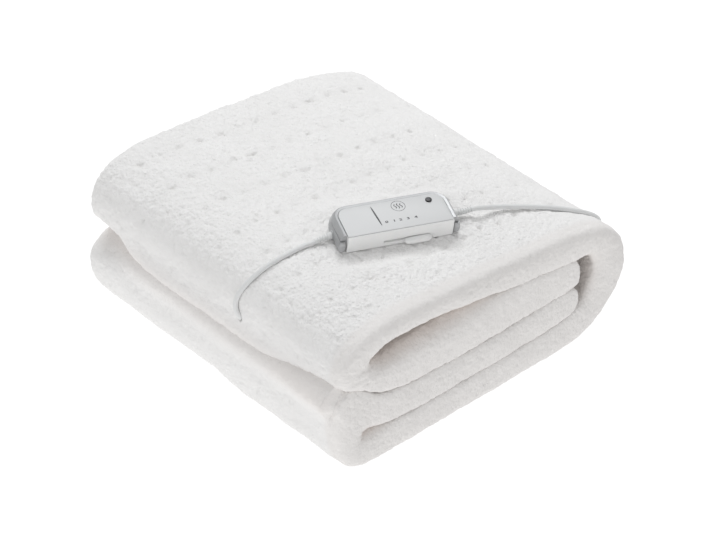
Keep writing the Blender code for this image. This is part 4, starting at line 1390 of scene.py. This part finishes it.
def addBlanket(material, cordPaths):
    along = np.linspace(0.0, clothLength, round(clothLength / pile["step"]) + 1)
    columns, across, marks = profileColumns(pile["step"])
    cloth = addCloth(material, columns, marks)

    # the pile over it, in patches that share their border lines
    foldRow, topRow, innerRow, smallRow, footRow = (
        int(np.searchsorted(along, ribPlaces[firstRib[band] + more]))
        for band, more in (
            ("bigFold", 0), ("topBand", -1), ("upperInner", 2), ("lowerSmallFold", -2), ("bottomBand", 1),
        )
    )
    backRow, lastRow = (foldRow + topRow) // 2, len(along) - 1
    margin, edgeMargin, innerMargin, deepMargin = (
        round(pile[name] / pile["step"]) for name in ("margin", "edgeMargin", "innerMargin", "deepMargin")
    )
    # the stretches of the columns: slit, open edge, outer face, folded end, inner face, open edge, slit
    _, openEdge, outerStart, outerEnd, innerStart, innerEnd, lowerOpen, _ = marks
    left, right = outerStart + margin, outerEnd - margin
    thick, endThick = pile["thick"], pile["endThick"]
    patches = {
        "pileTop": (topRow, innerRow, left, right, thick, "end"),
        "pileBigFold": (foldRow, topRow, left, right, thick, "start"),
        "pileLowerFold": (smallRow, footRow, left, right, thick, "start end"),
        "pileFoldedEndUpper": (backRow, lastRow, right, innerStart + deepMargin, endThick, "last"),
        "pileFoldedEndLower": (0, backRow, right, innerStart + deepMargin, endThick, "last"),
        "pileUpperEdge": (0, lastRow, openEdge - edgeMargin, left, endThick, "first"),
        "pileLowerEdge": (0, lastRow, innerEnd - innerMargin, lowerOpen + edgeMargin, endThick, "first last"),
    }
    made = [
        addPatch(name, patch, patch[2] == right, along, columns, across, material, cordPaths)
        for name, patch in patches.items()
    ]


fleece = {
    "low": (0.78, 0.77, 0.755, 1.0),  # between the tufts and in the pits: darker, as painted shade in the pile's hollows
    "high": (0.905, 0.895, 0.885, 1.0),
    "shadeTint": (0.86, 0.80, 0.765, 1.0),  # painted shade: the colour is multiplied by this on the folded end, between its bands and in the crease
    "shader": {"Roughness": 0.95, "Specular IOR Level": 0.15, "Sheen Weight": 0.12, "Sheen Roughness": 0.6},
    "depths": {"From Min": -2.0, "From Max": 0.5},  # of the pile, in knobs
    "curls": {"Scale": 380.0},
    "curlBump": {"Strength": 0.8, "Distance": 0.0013},
    "fibres": {"Scale": 900.0, "Detail": 3.0},
    "fibreBump": {"Strength": 0.5, "Distance": 0.0005},
}


def fleeceMaterial():
    material = newMaterial("fleece", fleece["shader"])
    tree = material.node_tree
    shader = tree.nodes["Principled BSDF"]
    place = addNode(tree, "ShaderNodeTexCoord", {})
    depth, paintedShade, rough = (
        addNode(tree, "ShaderNodeAttribute", {}, attribute_name=name)
        for name in ("pileDepth", "paintedShade", "roughness")
    )
    # painted shade: the colour goes from darker in the pile's hollows to lighter on its tufts
    span = addNode(tree, "ShaderNodeMapRange", fleece["depths"])
    ramp = addNode(tree, "ShaderNodeValToRGB", {})
    ramp.color_ramp.elements[0].color = fleece["low"]
    ramp.color_ramp.elements[1].color = fleece["high"]
    # painted warm shade, multiplied into the colour where the attribute asks for it
    shadeMix = addNode(tree, "ShaderNodeMix", {}, data_type="RGBA", blend_type="MULTIPLY")
    setInputs(shadeMix, {"B": fleece["shadeTint"]})
    # small curls, with the fibres over them
    curls = addNode(tree, "ShaderNodeTexVoronoi", fleece["curls"], feature="SMOOTH_F1")
    curlShare = addNode(tree, "ShaderNodeMath", {}, operation="MULTIPLY")
    curlBump = addNode(tree, "ShaderNodeBump", fleece["curlBump"], invert=True)
    fibres = addNode(tree, "ShaderNodeTexNoise", fleece["fibres"])
    fibreBump = addNode(tree, "ShaderNodeBump", fleece["fibreBump"])
    wire(
        tree,
        (depth, "Fac", span, "Value"),
        (span, "Result", ramp, "Fac"),
        (ramp, "Color", shadeMix, "A"),
        (paintedShade, "Fac", shadeMix, "Factor"),
        (shadeMix, "Result", shader, "Base Color"),
        (place, "Object", curls, "Vector"),
        (place, "Object", fibres, "Vector"),
        (curls, "Distance", curlShare, 0),
        (rough, "Fac", curlShare, 1),
        (curlShare, 0, curlBump, "Height"),
        (curlBump, "Normal", fibreBump, "Normal"),
        (fibres, "Fac", fibreBump, "Height"),
        (fibreBump, "Normal", shader, "Normal"),
    )
    return material


addCamera()
addStudio()
grainGroup = makeGrainGroup()
materials = {name: hardMaterial(name, grainGroup) for name in finishes}
for finish, pieces in cadFinishes.items():
    for piece in pieces:
        for materialSlot in nodes[piece].material_slots:
            materialSlot.material = materials[finish]
addShell(materials["whitePlastic"], materials["inkAndSlotShade"])
addPanel(materials["panelPlastic"])
addLamp(materials["lampPlastic"])
addPanelLine(materials["inkAndSlotShade"])
addNumbers(materials["inkAndSlotShade"])
addHeatSymbol(materials["inkAndSlotShade"])
addExitRing("exitRingLeft", cords["leftLean"], materials["silverFinish"])
addExitRing("exitRingRight", cords["rightLean"], materials["silverFinish"])
sleeves = [
    addSleeve("sleeveLeft", cords["leftLean"], materials["cableSkin"], "relief_left"),
    addSleeve("sleeveRight", cords["rightLean"], materials["cableSkin"], "relief_right"),
]
print("control finished")

cordItems = addCords(materials["cableSkin"], sleeves)
print("cords laid")
addBlanket(fleeceMaterial(), [densePath(item) for item in cordItems])
print("blanket folded")
